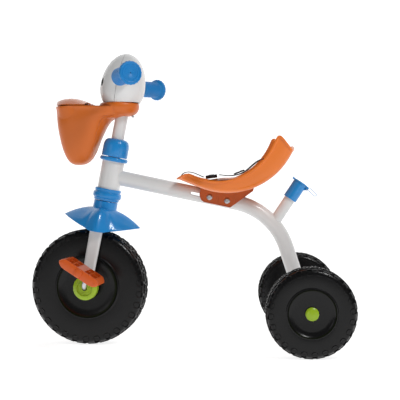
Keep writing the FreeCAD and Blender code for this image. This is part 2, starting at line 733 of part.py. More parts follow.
leg_length = crown_bottom + fork_leg_drop
for side, sign in SIDES:
    body = doc.addObject("PartDesign::Body", "leg")
    corner_radius = fork_leg_thickness / 2 - 0.6
    for inset, kind in ((0, "PartDesign::AdditiveLoft"), (tube_wall, "PartDesign::SubtractiveLoft")):
        sections = []
        for width, height in ((fork_leg_end_width, 0), (fork_leg_top_width, leg_length)):
            x = width / 2 - inset
            y = fork_leg_thickness / 2 - inset
            curve = corner_radius - inset
            section = outline_sketch(body, "XY_Plane", [
                (curve - x, -y), (x - curve, -y, curve, True), (x, curve - y),
                (x, y - curve, curve, True), (x - curve, y), (curve - x, y, curve, True),
                (-x, y - curve), (-x, curve - y, curve, True)])
            section.AttachmentOffset = FreeCAD.Placement(Vector(0, 0, float(height)),
                                                         FreeCAD.Rotation())
            section.setExpression("AttachmentOffset.Base.z", as_size(height).text)
            sections.append(section)
        loft = body.newObject(kind, "loft")
        loft.Profile = sections[0]
        loft.Sections = [sections[1]]
        loft.Ruled = True
        doc.recompute()
    eye = cylinder(bush_hole, fork_leg_thickness * 2,
                   HERE.at(0, -fork_leg_thickness, fork_leg_drop, ("X", -90)))
    keep("fork_leg_" + side, cut(body, eye),
         STEER.at(0, fork_half_track * sign, -fork_leg_drop))
    fork_bush = turned([
        (axle_radius + running_gap, 0), (bush_radius, 0), (bush_radius, fork_leg_thickness),
        (bush_radius + bush_rim, fork_leg_thickness),
        (bush_radius + bush_rim, fork_leg_thickness + bush_flange),
        (axle_radius + running_gap, fork_leg_thickness + bush_flange)])
    keep("fork_bush_" + side, fork_bush, STEER.at(0, leg_inside * sign, 0, ACROSS[sign]))
    cover_radius = hub_cover_dia / 2
    cover_face = fork_leg_thickness + bush_flange + 1
    skirt = 4
    cover = turned([
        (cover_radius - hub_cover_wall, -skirt), (cover_radius, -skirt),
        (cover_radius, cover_face - 3), (cover_radius - 5, cover_face + 1),
        (axle_radius + 8, cover_face + 3.5), (axle_radius + 1, cover_face + 3.5),
        (axle_radius + 1, cover_face + 1.2), (axle_radius + 7, cover_face + 1.2),
        (cover_radius - hub_cover_wall - 4, cover_face - 1.2),
        (cover_radius - hub_cover_wall, cover_face - 4)])
    slot = block(hub_cover_dia, fork_leg_top_width + 0.6, fork_leg_thickness + skirt + 0.2,
                 hub_cover_dia / 2, 0, -skirt)
    keep("hub_cover_" + side, cut(cover, slot),
         STEER.at(0, leg_inside * sign, 0, ACROSS[sign], ("Z", -90 * sign)))

crown_span = leg_outside * 2
drain_radius = 5
crown = cut(block(fork_leg_top_width, crown_span, crown_thickness, 0, 0, crown_bottom),
            cylinder(drain_radius, bar_height))
keep("fork_crown", crown, STEER)
steerer_bottom = crown_bottom + crown_thickness
bar_radius = bar_od / 2
steerer = tube(steerer_radius, steerer_radius - tube_wall, bar_height - steerer_bottom,
               HERE.at(0, 0, steerer_bottom))
bar_cope = cylinder(bar_radius, steerer_od * 2, HERE.at(0, -steerer_od, bar_height, ("X", -90)))
keep("steerer", cut(steerer, bar_cope), STEER)

# Fender: a four-pointed cover, long over the tyre and short over the fork legs.
neck_length = 17
skirt_drop = 11
flat_half = 16
tip_rise = 22
edge_power = 1.3
neck_top = head_tube_bottom - collar_base - 1
neck_bottom = float(neck_top) - neck_length
fender_floor = float(crown_bottom) - skirt_drop


def fender_point(angle, part, drop=0.0, scale=1.0):
    """A point on the fender at an angle about the column, from neck (0) to edge (1)."""
    c, s = math.cos(angle), math.sin(angle)
    edge = ((2 * abs(c) / float(fender_length)) ** edge_power
            + (2 * abs(s) / float(fender_width)) ** edge_power) ** (-1 / edge_power)
    neck = float(fender_neck_dia) / 2
    reach = neck + (edge * scale - neck) * part
    wing = max(abs(edge * c) - flat_half, 0) / (float(fender_length) / 2 - flat_half)
    tip = fender_floor + tip_rise * wing
    sag = (1 - part) * part * (16 * c ** 4 + 75 * s ** 4 - 20 * abs(c * s))
    height = neck_bottom + (tip - neck_bottom) * part + sag
    return Vector(reach * c, reach * s, height - drop)


def fender_half(start):
    steps = 24
    angles = [start + math.pi * step / steps for step in range(steps + 1)]
    shares = (0, 0.33, 0.66, 1)
    outer = [[fender_point(angle, part) for part in shares] for angle in angles]
    inner = [[fender_point(angle, part, float(fender_wall)) for part in shares]
             for angle in angles]
    return skin_solid(outer, inner)


fender_skin = shaped(fender_half(0).fuse(fender_half(math.pi)))
neck_radius = fender_neck_dia / 2
fender_neck = turned([
    (steerer_radius + seat_in_gap, steerer_bottom + 6), (neck_radius - 1, steerer_bottom + 6),
    (neck_radius + 1, neck_bottom - 1), (neck_radius, neck_bottom + 4),
    (neck_radius, neck_top), (steerer_radius + seat_in_gap, neck_top)])
crown_box = block(fork_leg_top_width + 0.6, crown_span + 0.6, crown_bottom, 0, 0,
                  crown_thickness + 0.3)
keep("fender", cut(fuse(fender_skin, fender_neck), crown_box), STEER)

bell_radius = bell_dia / 2
bell = turned([
    (bell_radius - 2.5, 0), (bell_radius, 0), (bell_radius, bell_height - 14, 12, True),
    (bell_radius - 12, bell_height - 2), (steerer_radius + 1, bell_height),
    (steerer_radius + seat_in_gap, bell_height), (steerer_radius + seat_in_gap, bell_height - 8),
    (bell_radius - 12, bell_height - 6), (bell_radius - 2.5, bell_height - 16)])
keep("column_cover", bell, STEER.at(0, 0, head_tube_top + ring_thickness + 1))

# ---- Crank, pedals ----

spindle_length = crank_half_width + crank_bend + 4 + pedal_width
crank_path = [(0, 0), (crank_half_width - crank_bend, 0, crank_bend, False),
              (crank_half_width, -crank_bend),
              (crank_half_width, crank_bend - crank_arm, crank_bend, True),
              (crank_half_width + crank_bend, -crank_arm),
              (spindle_length, -crank_arm)]
crank, crank_pipe = bent_bar("YZ_Plane", crank_path, "XZ_Plane", axle_radius)
twin = crank.newObject("PartDesign::PolarPattern", "twin")
twin.Originals = crank_pipe
twin.Axis = (origin_item(crank, "X_Axis"), [""])
twin.Angle = 360
twin.Occurrences = 2
crank.Tip = twin
keep("crank_axle", crank, STEER)

pedal_inside = crank_half_width + crank_bend + 1
pedal_tilt = pedal_rest_tilt - steer_tilt
for side, sign in SIDES:
    half_length = pedal_length / 2
    thick = pedal_thickness / 2
    profile = [(-half_length, -2), (-half_length + 9, -thick), (half_length - 9, -thick),
               (half_length, -2), (half_length - 1, 3), (half_length - 10, thick),
               (-half_length + 10, thick), (-half_length + 1, 3)]
    slab = plate("XZ_Plane", profile, pedal_width)
    wall = 4
    well_length = (half_length - 12 - axle_radius - 3.5 - wall / 2) / 2
    wells = []
    for end in (-1, 1):
        for place in (0, 1):
            middle = (axle_radius + 3.5 + well_length / 2 + (well_length + wall) * place) * end
            wells.append(block(well_length, pedal_width - wall * 2, pedal_thickness * 2,
                               middle, 0, wall / 2 - thick))
    spindle_hole = cylinder(axle_radius + running_gap, pedal_width * 2,
                            HERE.at(0, -pedal_width, 0, ("X", -90)))
    keep("pedal_" + side, cut(slab, spindle_hole, *wells),
         STEER.at(0, (pedal_inside + pedal_width / 2) * sign, -crank_arm * sign,
                  ("Y", pedal_tilt)))
    stop = tube(axle_radius + 3.5, axle_radius + seat_in_gap, 1.5)
    keep("pedal_nut_" + side, stop,
         STEER.at(0, (pedal_inside + pedal_width + 0.5) * sign, -crank_arm * sign,
                  ACROSS[sign]))

# ---- Handlebar and grips ----

BAR = STEER.at(0, 0, bar_height, ("Y", -bar_lift))
bar_reach = bar_bend_radius * tangent(bar_sweep / 2)
bar_path = [(0, 0), (0, bar_half_straight - bar_reach, bar_bend_radius, False),
            (bar_reach * sine(bar_sweep), bar_half_straight + bar_reach * cosine(bar_sweep)),
            (bar_end_length * sine(bar_sweep),
             bar_half_straight + bar_end_length * cosine(bar_sweep))]
bar, bar_pipes = bent_bar("XY_Plane", bar_path, "XZ_Plane", bar_radius, bar_radius - tube_wall)
other_half = bar.newObject("PartDesign::Mirrored", "other_half")
other_half.Originals = bar_pipes
other_half.MirrorPlane = (origin_item(bar, "XZ_Plane"), [""])
bar.Tip = other_half
keep("handlebar", bar, BAR)

grip_radius = grip_dia / 2
flange_radius = grip_flange_dia / 2
grip_bore = bar_radius + seat_in_gap
bar_in_grip = bar_end_length - grip_start + 1
for side, sign in SIDES:
    grip = turned([
        (grip_bore, 0), (grip_radius - 2, 0), (grip_radius, 2),
        (grip_radius, grip_length - 11), (flange_radius - 1.5, grip_length - 9),
        (flange_radius, grip_length - 7), (flange_radius, grip_length - 2),
        (flange_radius - 2, grip_length), (grip_radius - 1, grip_length),
        (grip_radius - 2, grip_length - 1), (1.5, grip_length - 1),
        (1.5, bar_in_grip), (grip_bore, bar_in_grip)])
    keep("grip_" + side, grip,
         BAR.at(grip_start * sine(bar_sweep),
                (bar_half_straight + grip_start * cosine(bar_sweep)) * sign, 0,
                ("Z", -bar_sweep * sign), ACROSS[sign]))

# ---- Handlebar cover: an egg-shaped bird's head in a front and a rear shell ----


def egg(shrink):
    halves = []
    for height, first, last in ((egg_upper_half, 0, 90), (egg_lower_half, -90, 0)):
        half = doc.addObject("Part::Ellipsoid", "egg_half")
        radius = egg_radius - shrink
        bind(half, Radius1=height - shrink, Radius2=radius, Radius3=radius)
        half.Angle1 = first
        half.Angle2 = last
        halves.append(half)
    return fuse(*halves)


egg_foot = rim_height + egg_above_rim
EGG = STEER.at(-egg_forward, 0, egg_centre_height)
egg_size = egg_upper_half * 2
seam = -egg_seam
bar_clear = bar_radius + joint_gap
for label, middle in (("head_front", seam - egg_size / 2 - seat_in_gap / 2),
                      ("head_rear", seam + egg_size / 2 + seat_in_gap / 2)):
    keep_side = block(egg_size, egg_size, egg_size * 2, middle, 0, -egg_size)
    upright_cut = HERE.at(egg_forward, 0, -egg_centre_height, ("Y", -steer_tilt))
    below = block(egg_size * 3, egg_size, egg_size, 0, 0, egg_foot - egg_size,
                  frame=upright_cut)
    hole = cylinder(bar_clear, egg_size * 2,
                    HERE.at(egg_forward, -egg_size, bar_height - egg_centre_height,
                            ("X", -90)))
    shell = cut(egg(0), egg(egg_wall), below, hole)
    keep(label, common(shell, keep_side), EGG)

# Eyes: oval buttons let into the front of the head.
eye_turn = 27
eye_width = 13
eye_tall = 20
eye_rise = 1.4
eyes = []
for sign in (-1, 1):
    button = doc.addObject("Part::Ellipsoid", "eye")
    bind(button, Radius1=eye_tall / 2, Radius2=3, Radius3=eye_width / 2)
    button.setExpression("Placement",
                         HERE.at(0, 0, 0, ("Z", -eye_turn * sign)).at(-egg_radius, 0, 0).text)
    eyes.append(button)
eye_pair = cut(common(fuse(*eyes), egg(-eye_rise)), egg(-seat_in_gap))
keep("eyes", eye_pair, EGG)

# ---- Basket: a beak pouch with a saucer behind it that carries the head ----


def oval_wire(height, front, back, half_width, power=2.5, steps=28):
    middle, reach = (front + back) / 2, (back - front) / 2
    points = []
    for step in range(steps):
        angle = 2 * math.pi * step / steps
        c, s = math.cos(angle), math.sin(angle)
        points.append(Vector(middle + reach * math.copysign(abs(c) ** (2 / power), c),
                             half_width * math.copysign(abs(s) ** (2 / power), s), height))
    curve = Part.BSplineCurve()
    curve.interpolate(points, PeriodicFlag=True)
    return Part.Wire([curve.toShape()])


rim = float(rim_height)
half = float(lid_half_width)
# Each level: depth below the rim, front, back, half width.
pouch_levels = [(131, -36, -16, 12), (124, -45, -2, 26), (112, -54, 9, 36), (96, -61, 18, 44),
                (72, -67, 29, 49), (46, -72, 41, 53), (22, -74, 56, half), (0, -77, 62, half + 2)]
hollow_levels = [(128, -33, -19, 9), (122, -42, -6, 22), (111, -50, 5, 33), (95, -57, 13, 41),
                 (72, -63.5, 20, 46), (46, -68.5, 24, 50), (22, -71, 22, half - 3),
                 (-1, -73, -1.5, half - 2)]
pouch = Part.makeLoft([oval_wire(rim - level[0], *level[1:]) for level in pouch_levels], True)
pouch_room = Part.makeLoft([oval_wire(rim - level[0], *level[1:]) for level in hollow_levels],
                           True)
saucer_radius = saucer_dia / 2
saucer_top = egg_foot - seat_in_gap
saucer_bottom = saucer_top - saucer_height
saucer = turned([(0, 0), (saucer_radius - 14, 0, 15, True), (saucer_radius, 15),
                 (saucer_radius, saucer_height), (0, saucer_height)])
saucer.setExpression("Placement", HERE.at(saucer_back, 0, saucer_bottom).text)
cup = turned([(0, basket_wall), (saucer_radius - 14, basket_wall, 12, True),
              (saucer_radius - basket_wall, basket_wall + 12),
              (saucer_radius - basket_wall, saucer_height + 1), (0, saucer_height + 1)])
cup.setExpression("Placement", HERE.at(saucer_back, 0, saucer_bottom).text)
recess_length = 60
recess_front = 30
recess_width = 72
recess_height = 62
recess_drop = 86
rear_recess = block(recess_length, recess_width, recess_height,
                    recess_front + recess_length / 2, 0, rim_height - recess_drop)
TILT_IN_UPRIGHT = HERE.at(0, 0, 0, ("Y", steer_tilt))
stem_hole = cylinder(steerer_radius + seat_in_gap, bar_height * 1.2, TILT_IN_UPRIGHT)
hinge_back = 2.5
hinge_up = 4
knuckle_radius = 3.4
basket_knuckles = []
lid_knuckles = []
knuckle_length = 12
for index, place in enumerate((-24, -12, 12, 24)):
    spot = HERE.at(hinge_back, place - knuckle_length / 2 + joint_gap / 2,
                   rim_height + hinge_up, ("X", -90))
    solid = cylinder(knuckle_radius, knuckle_length - joint_gap, spot)
    target = lid_knuckles if index in (1, 2) else basket_knuckles
    target.append(solid)
feet = [block(9, knuckle_length - joint_gap, hinge_up + 6, hinge_back + 2, place,
              rim_height - 6) for place in (-24, 24)]
lid_pin_radius = 1.5
lid_pin_hole = cylinder(lid_pin_radius + seat_in_gap, 80,
                        HERE.at(hinge_back, -40, rim_height + hinge_up, ("X", -90)))
pouch_shell = cut(shaped(pouch), shaped(pouch_room), rear_recess)
screw_radius = 1.5
screw_back = saucer_back + 31
screw_hole = cylinder(screw_radius + seat_in_gap, 20, HERE.at(screw_back, 0, saucer_bottom - 5))
basket_shape = cut(fuse(pouch_shell, saucer), cup, stem_hole, screw_hole)
keep("basket", cut(fuse(basket_shape, *(basket_knuckles + feet)), lid_pin_hole), UPRIGHT)
keep("lid_hinge_pin", cylinder(lid_pin_radius, 62),
     UPRIGHT.at(hinge_back, -31, rim_height + hinge_up, ("X", -90)))

# Lid: the domed upper beak.
lid_back = -2.0
length = float(lid_length)


def lid_rows(drop, shrink):
    rows = []
    for share in (0, 0.12, 0.3, 0.5, 0.68, 0.82, 0.92, 0.98, 1.0):
        x = lid_back - (length + lid_back - shrink) * share
        width = (half + 1 - shrink) * (1 - share ** 3.2) ** 0.5 if share < 1 else 0
        width = max(width, 6.0)
        crest = float(lid_rise) * (0.5 + 1.75 * share - 1.62 * share ** 2) - 2
        crest = max(crest, 1.5) - drop
        row = []
        for across in (-1, -0.85, -0.5, 0, 0.5, 0.85, 1):
            z = crest * (1 - abs(across) ** 2.6) + (1.4 - min(drop, 1.2)) * abs(across) ** 2.6
            row.append(Vector(x, width * across, z))
        rows.append(row)
    return rows


lid_foot = rim + 0.5
lid_shell = skin_solid(lid_rows(0, 0), lid_rows(float(lid_wall), 0))
lid_shape = shaped(lid_shell)
lid_shape.setExpression("Placement", HERE.at(0, 0, lid_foot).text)
lid_links = [block(8, knuckle_length - joint_gap, 4, lid_back - 0.5, place, lid_foot + 2.5)
             for place in (-12, 12)]
lid_bore = cylinder(lid_pin_radius + running_gap, 80,
                    HERE.at(hinge_back, -40, rim_height + hinge_up, ("X", -90)))
keep("basket_lid", cut(fuse(lid_shape, *(lid_knuckles + lid_links)), lid_bore), UPRIGHT)

saucer_screw = turned([(0, 0), (screw_radius, 0), (screw_radius, 12), (3.5, 12), (3.5, 13),
                       (2, 14.5), (0, 14.5)])
keep("basket_screw", saucer_screw,
     UPRIGHT.at(screw_back, 0, saucer_bottom + 12 - seat_in_gap, ("X", 180)))

# ---- Seat: a bucket shell on a saddle bracket that slides along the tube ----

radius = float(seat_radius)
front_angle = -9.8
back_angle = 75.0
nose_share = 0.3
nose_length = 54.0


def ease(share):
    share = min(max(share, 0), 1)
    return share * share * (3 - 2 * share)


def seat_angle(station):
    """Angle of a station round the seat's arc; the nose in front of the arc is straight."""
    if station < nose_share:
        straight = (station / nose_share - 1) * nose_length
        return front_angle + math.degrees(straight / radius)
    return front_angle + (back_angle - front_angle) * (station - nose_share) / (1 - nose_share)


def seat_point(station, across, up):
    """A point of the seat: station runs from the front (0) to the top of the back (1)."""
    straight = min(station / nose_share - 1, 0) * nose_length
    angle = math.radians(max(seat_angle(station), front_angle))
    wide = float(seat_half_width)
    rake = 0.9 * max(1 - station / nose_share, 0) + 0.5 * max(station - 0.6, 0) / 0.4
    crown = 14 * max(station - 0.7, 0) / 0.3 * (1 - (across / wide) ** 2)
    along = straight + rake * up + crown
    base = Vector(math.sin(angle) * radius, 0, -math.cos(angle) * radius)
    onward = Vector(math.cos(angle), 0, math.sin(angle))
    inward = Vector(-math.sin(angle), 0, math.cos(angle))
    return base + onward * along + inward * up + Vector(0, across, 0)


def side_height(station):
    """Height of the side walls along the seat."""
    return 16 + 26 * ease((station - 0.1) / 0.62)


def hump_height(station):
    """Height of the ridge that runs over the tube between the rider's legs."""
    angle = seat_angle(station)
    return 3.5 + (float(seat_hump) - 3.5) * ease((angle + 25) / 35) * (1 - ease((angle - 22) / 35))


def seat_rows(inner):
    wall = float(seat_wall)
    wide = float(seat_half_width)
    rows = []
    steps = 16
    for step in range(steps + 1):
        station = step / steps
        tall = side_height(station)
        hump = hump_height(station)
        edge = wide * (0.72 + 0.28 * ease(station / 0.45))
        flank = [(edge, tall), (edge - 0.4, tall * 0.55), (edge - 5, 6), (edge - 16, 0.5),
                 (edge * 0.55, 0.5), (37, hump * 0.35), (24, hump * 0.86), (0, hump)]
        if inner:
            flank = [(edge - wall, tall), (edge - wall - 0.4, tall * 0.55 + wall * 0.3),
                     (edge - 5 - wall * 0.8, 6 + wall * 0.7), (edge - 17, 0.5 + wall),
                     (edge * 0.55, 0.5 + wall), (36, hump * 0.35 + wall),
                     (24, hump * 0.86 + wall), (0, hump + wall)]
        row = [seat_point(station, -y, up) for y, up in flank]
        row += [seat_point(station, y, up) for y, up in reversed(flank[:-1])]
        rows.append(row)
    return rows


SEAT_ARC = SEAT.at(seat_centre_back, 0, seat_centre_height)
keep("seat_shell", shaped(skin_solid(seat_rows(False), seat_rows(True))), SEAT_ARC)

saddle = main_radius + joint_gap
bracket_half = main_radius + bracket_cheek
bracket_side = [(-44, main_radius + 7), (-43, 0), (-37, -10), (-30, -13.5), (30, -13.5),
                (72.5, 33.5), (72.5, 42), (30, main_radius + 20), (0, main_radius + 19),
                (-20, main_radius + 13)]
bracket = plate("XZ_Plane", bracket_side, bracket_half * 2)
tunnel_length = 400
tunnel = cylinder(saddle, tunnel_length, HERE.at(-tunnel_length / 2, 0, 0, ("Y", 90)))
tunnel_slot = block(tunnel_length, saddle * 2, main_tube_od, 0, 0, -main_tube_od)
bolt_holes = [cylinder(bolt_dia / 2 + seat_in_gap, bracket_half * 4,
                       HERE.at(x, -bracket_half * 2, 0, ("X", -90)))
              for x in (-bolt_pitch / 2, bolt_pitch / 2)]
keep("seat_bracket", cut(bracket, tunnel, tunnel_slot, *bolt_holes), SEAT)

bolt_tail = 8
socket_size = 2.3
nut_size = 5.8
nut_height = 5
bolts = []
nuts = []
for x in (-bolt_pitch / 2, bolt_pitch / 2):
    reach = bracket_half + seat_in_gap
    shank = cylinder(bolt_dia / 2, reach * 2 + bolt_tail, HERE.at(x, -reach, 0, ("X", -90)))
    head = turned([(0, 0), (bolt_head_dia / 2, 0), (bolt_head_dia / 2 - 0.6, 1.4),
                   (bolt_head_dia / 2 - 3, bolt_head_height), (0, bolt_head_height)])
    head.setExpression("Placement", HERE.at(x, -reach, 0, ("X", 90)).text)
    socket = doc.addObject("Part::Prism", "socket")
    socket.Polygon = 6
    bind(socket, Circumradius=socket_size, Height=bolt_head_height)
    socket.setExpression("Placement", HERE.at(x, -reach - 1.2, 0, ("X", 90)).text)
    bolts.append(cut(fuse(shank, head), socket))
    nut = doc.addObject("Part::Prism", "nut")
    nut.Polygon = 6
    bind(nut, Circumradius=nut_size, Height=nut_height)
    nut.setExpression("Placement", HERE.at(x, reach, 0, ("X", -90)).text)
    nuts.append(cut(nut, cylinder(bolt_dia / 2 + seat_in_gap, nut_height * 3,
                                  HERE.at(x, reach - nut_height, 0, ("X", -90)))))
keep("seat_bolts", group(*bolts), SEAT)
keep("seat_nuts", group(*nuts), SEAT)

# Harness: crotch strap to a buckle on the ridge, and a lap strap from each side.


def ribbon(points, width, thickness):
    """A flat strap along points (along, across, up) with its width across the seat."""
    lower = []
    upper = []
    for index, spot in enumerate(points):
        before = points[max(index - 1, 0)]
        after = points[min(index + 1, len(points) - 1)]
        way = Vector(after[0] - before[0], 0, after[2] - before[2]).normalize()
        lift = Vector(-way.z, 0, way.x).multiply(thickness)
        row = [Vector(spot[0], spot[1] + width * edge, spot[2]) for edge in (-0.5, 0, 0.5)]
        lower.append(row)
        upper.append([point.add(lift) for point in row])
    return skin_solid(upper, lower)


wide = float(strap_width)
thin = float(strap_thickness)
crotch = [(-92, 0, 31), (-87, 0, 40.5), (-68.5, 0, 45), (-52.5, 0, 42), (-42, 0, 40)]
keep("crotch_strap", shaped(ribbon(crotch, wide, thin)), SEAT)
adjuster_reach = 12
for side, sign in SIDES:
    lap = [(108, 58 * sign, 84), (97, 57 * sign, 101), (85, 56 * sign, 105),
           (70, 53 * sign, 98), (60, 49 * sign, 87), (52, 45 * sign, 76), (42, 41 * sign, 67),
           (30, 36 * sign, 60), (13, 30 * sign, 54), (-5, 25 * sign, 53), (-9, 24 * sign, 52)]
    keep("lap_strap_" + side, shaped(ribbon(lap, wide, thin)), SEAT)
    slider = cut(block(adjuster_reach * 2, wide + 7, 3), block(5, wide + 1, 12, 6, 0, -5),
                 block(5, wide + 1, 12, -6, 0, -5))
    keep("strap_adjuster_" + side, slider, SEAT.at(34, 38 * sign, 67, ("Y", -34)))
BUCKLE = SEAT.at(-24, 0, 42, ("Y", -19))
buckle_length = 26
buckle_width = 34
buckle_height = 7.6
button_radius = 6
button_travel = 2
button_top = buckle_height + 1
well_floor = 2.4
tongue_mouth = block(8, 22, 3, -10, 0, well_floor)
buckle = cut(block(buckle_length, buckle_width, buckle_height), tongue_mouth,
             cylinder(button_radius + joint_gap, buckle_height, HERE.at(0, 0, well_floor)))
keep("buckle_body", buckle, BUCKLE)
button_height = button_top - well_floor - button_travel - joint_gap
keep("buckle_button", cylinder(button_radius, button_height),
     BUCKLE.at(0, 0, button_top - button_height))

# ---- Checks, then export ----

doc.recompute()
for thing in doc.Objects:
    if "Invalid" in thing.State or "Error" in thing.State:
        raise RuntimeError("failed: %s %s %s" % (thing.Name, thing.Label, thing.State))
for label, thing in parts.items():
    if thing.Shape.isNull() or not thing.Shape.isValid() or not thing.Shape.Solids:
        raise RuntimeError("bad shape: " + label)
os.makedirs("parts", exist_ok=True)
for label, thing in parts.items():
    thing.Shape.exportStep("parts/%s.step" % label)
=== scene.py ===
import json
import math

import bmesh
import bpy
from mathutils import Matrix, Vector


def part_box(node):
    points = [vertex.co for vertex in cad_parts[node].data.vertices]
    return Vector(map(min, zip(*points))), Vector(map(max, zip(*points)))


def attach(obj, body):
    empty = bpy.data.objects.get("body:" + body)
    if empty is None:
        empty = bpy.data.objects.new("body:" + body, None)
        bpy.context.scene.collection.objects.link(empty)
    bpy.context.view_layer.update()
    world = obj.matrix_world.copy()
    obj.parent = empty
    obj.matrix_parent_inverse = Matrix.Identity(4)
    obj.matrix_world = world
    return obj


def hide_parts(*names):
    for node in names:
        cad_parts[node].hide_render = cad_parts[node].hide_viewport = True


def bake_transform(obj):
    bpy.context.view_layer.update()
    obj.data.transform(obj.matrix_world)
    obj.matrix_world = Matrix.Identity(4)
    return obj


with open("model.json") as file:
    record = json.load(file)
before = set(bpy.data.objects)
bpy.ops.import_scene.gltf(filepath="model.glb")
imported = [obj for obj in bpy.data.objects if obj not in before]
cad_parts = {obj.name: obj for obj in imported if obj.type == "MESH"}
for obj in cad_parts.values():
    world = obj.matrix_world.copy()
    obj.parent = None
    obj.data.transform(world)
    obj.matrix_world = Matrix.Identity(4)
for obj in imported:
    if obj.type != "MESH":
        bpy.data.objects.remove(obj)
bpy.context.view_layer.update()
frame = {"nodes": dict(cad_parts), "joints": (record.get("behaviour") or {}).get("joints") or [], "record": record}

# ---- Frame ----
# Head tube, bent main tube, cross tube, socket stub, fork and handlebar are steel tube,
# welded where they meet and powder coated in a glossy white that is slightly uneven.


class Signal:
    """A value in a shader: sums and products of it add Math nodes."""

    def __init__(self, finish, socket):
        self.finish = finish
        self.socket = socket

    def join(self, operation, first, second):
        return self.finish.node("ShaderNodeMath", {"operation": operation}, {0: first, 1: second})

    def __add__(self, other):
        return self.join("ADD", self, other)

    def __mul__(self, other):
        return self.join("MULTIPLY", self, other)

    __radd__ = __add__
    __rmul__ = __mul__


class Finish:
    """A material with one Principled shader, and the ways to add nodes to it."""

    def __init__(self, name, colour, **constants):
        self.material = bpy.data.materials.new(name)
        self.material.use_nodes = True
        self.tree = self.material.node_tree
        self.shader = self.tree.nodes["Principled BSDF"]
        self.feed(Base_Color=(*colour, 1), **constants)

    def node(self, kind, settings=None, inputs=None, output=0):
        made = self.tree.nodes.new(kind)
        for name, value in (settings or {}).items():
            setattr(made, name, value)
        for name, value in (inputs or {}).items():
            self.put(made.inputs[name], value)
        return Signal(self, made.outputs[output])

    def put(self, socket, value):
        if isinstance(value, Signal):
            self.tree.links.new(value.socket, socket)
        else:
            socket.default_value = value

    def feed(self, **inputs):
        for name, value in inputs.items():
            self.put(self.shader.inputs[name.replace("_", " ")], value)

    def spot(self):
        return self.node("ShaderNodeTexCoord", output="Object")

    def cloud(self, scale, detail=2.0):
        return self.node("ShaderNodeTexNoise",
                         inputs={"Vector": self.spot(), "Scale": scale, "Detail": detail})

    def mix(self, share, first, second):
        return self.node("ShaderNodeMix", {"data_type": "RGBA"},
                         {0: share, 6: (*first, 1), 7: (*second, 1)}, output=2)

    def bump(self, height, distance):
        self.feed(Normal=self.node("ShaderNodeBump", inputs={
            "Height": height, "Distance": distance, "Strength": 1.0}))


def shade(colour, share):
    return tuple(min(part * share, 1.0) for part in colour)


def dress(finish, *names):
    """Gives CAD nodes their finish."""
    for name in names:
        node = frame["nodes"][name]
        node.data.materials.clear()
        node.data.materials.append(finish.material)


coat_colour = (0.70, 0.70, 0.695)
powder_coat = Finish("powder_coat_white", coat_colour, Coat_Weight=0.35, Coat_Roughness=0.12)
powder_coat.feed(Base_Color=powder_coat.mix(powder_coat.cloud(14, 3), shade(coat_colour, 0.97),
                                            shade(coat_colour, 1.02)),
                 Roughness=powder_coat.cloud(60) * 0.10 + 0.30)
powder_coat.bump(powder_coat.cloud(420), 0.00012)
dress(powder_coat, "head_tube", "main_tube", "cross_tube", "socket_tube", "steerer", "fork_crown",
      "fork_leg_left", "fork_leg_right", "handlebar")

# ---- Axles, nuts, pins and screws ----
# The rods and fasteners are mild steel with bright zinc plating, drawn or turned, so a fine
# grain and a few duller patches show in the gloss.

zinc_colour = (0.56, 0.57, 0.59)
zinc = Finish("zinc_plate", zinc_colour, Metallic=1.0)
patches = zinc.cloud(55, 4)
zinc.feed(Base_Color=zinc.mix(patches, shade(zinc_colour, 0.82), shade(zinc_colour, 1.15)),
          Roughness=patches * 0.2 + 0.22)
zinc.bump(zinc.cloud(700, 3), 0.00008)
dress(zinc, "rear_axle", "axle_push_nuts", "crank_axle", "seat_bolts", "seat_nuts", "basket_screw",
      "lid_hinge_pin", "socket_hinge_pin")

# ---- Bushes, spacers and tube plugs ----
# Small nylon mouldings, black, pressed into the tubes and wheels and hardly seen.


def moulded(name, colour, roughness, skin=0.00006, skin_scale=900, shine=0.35, **constants):
    """Moulded plastic: colour and gloss vary a little, and the skin has a fine grain."""
    plastic = Finish(name, colour, Specular_IOR_Level=shine, **constants)
    flow = plastic.cloud(11, 3)
    plastic.feed(Base_Color=plastic.mix(flow, shade(colour, 0.92), shade(colour, 1.06)),
                 Roughness=flow * 0.14 + (roughness - 0.07))
    plastic.bump(plastic.cloud(skin_scale), skin)
    return plastic


nylon = moulded("black_nylon", (0.03, 0.03, 0.032), 0.55)
dress(nylon, "wheel_spacers", "wheel_bushes_left", "wheel_bushes_right", "fork_bush_left",
      "fork_bush_right", "cross_tube_plug_left", "cross_tube_plug_right")

# ---- Wheels ----
# Each wheel is one hollow blow moulding in black plastic, with a shallow dish and a bead round
# the hub. Rounded loops stand out on its shoulders, and chain-like links on its tread.

joints = {joint["name"]: joint for joint in frame["joints"]}
wheel_black = moulded("wheel_black", (0.0036, 0.0036, 0.0039), 0.24, 0.00005, 520, 0.26)


def axes_at(spot, up, across):
    """A place whose Z runs along up and whose Y runs across."""
    up = Vector(up).normalized()
    across = Vector(across).normalized()
    turn = Matrix((across.cross(up), across, up)).transposed().to_4x4()
    return Matrix.Translation(spot) @ turn


def sideways(hand):
    """Turns Z to point outwards along Y, on the side whose Y has that sign."""
    return Matrix.Rotation(math.radians(-90 * hand), 4, "X")


def lathe(outline, steps=96, closed=False):
    """An outline of (radius, height) points turned about Z."""
    solid = bmesh.new()
    spots = [solid.verts.new((radius, 0, height)) for radius, height in outline]
    pairs = list(zip(spots, spots[1:])) + ([(spots[-1], spots[0])] if closed else [])
    edges = [solid.edges.new(pair) for pair in pairs]
    bmesh.ops.spin(solid, geom=spots + edges, cent=(0, 0, 0), axis=(0, 0, 1), dvec=(0, 0, 0),
                   angle=math.tau, steps=steps, use_merge=True, use_duplicate=False)
    bmesh.ops.remove_doubles(solid, verts=solid.verts, dist=1e-6)
    bmesh.ops.recalc_face_normals(solid, faces=solid.faces)
    return solid


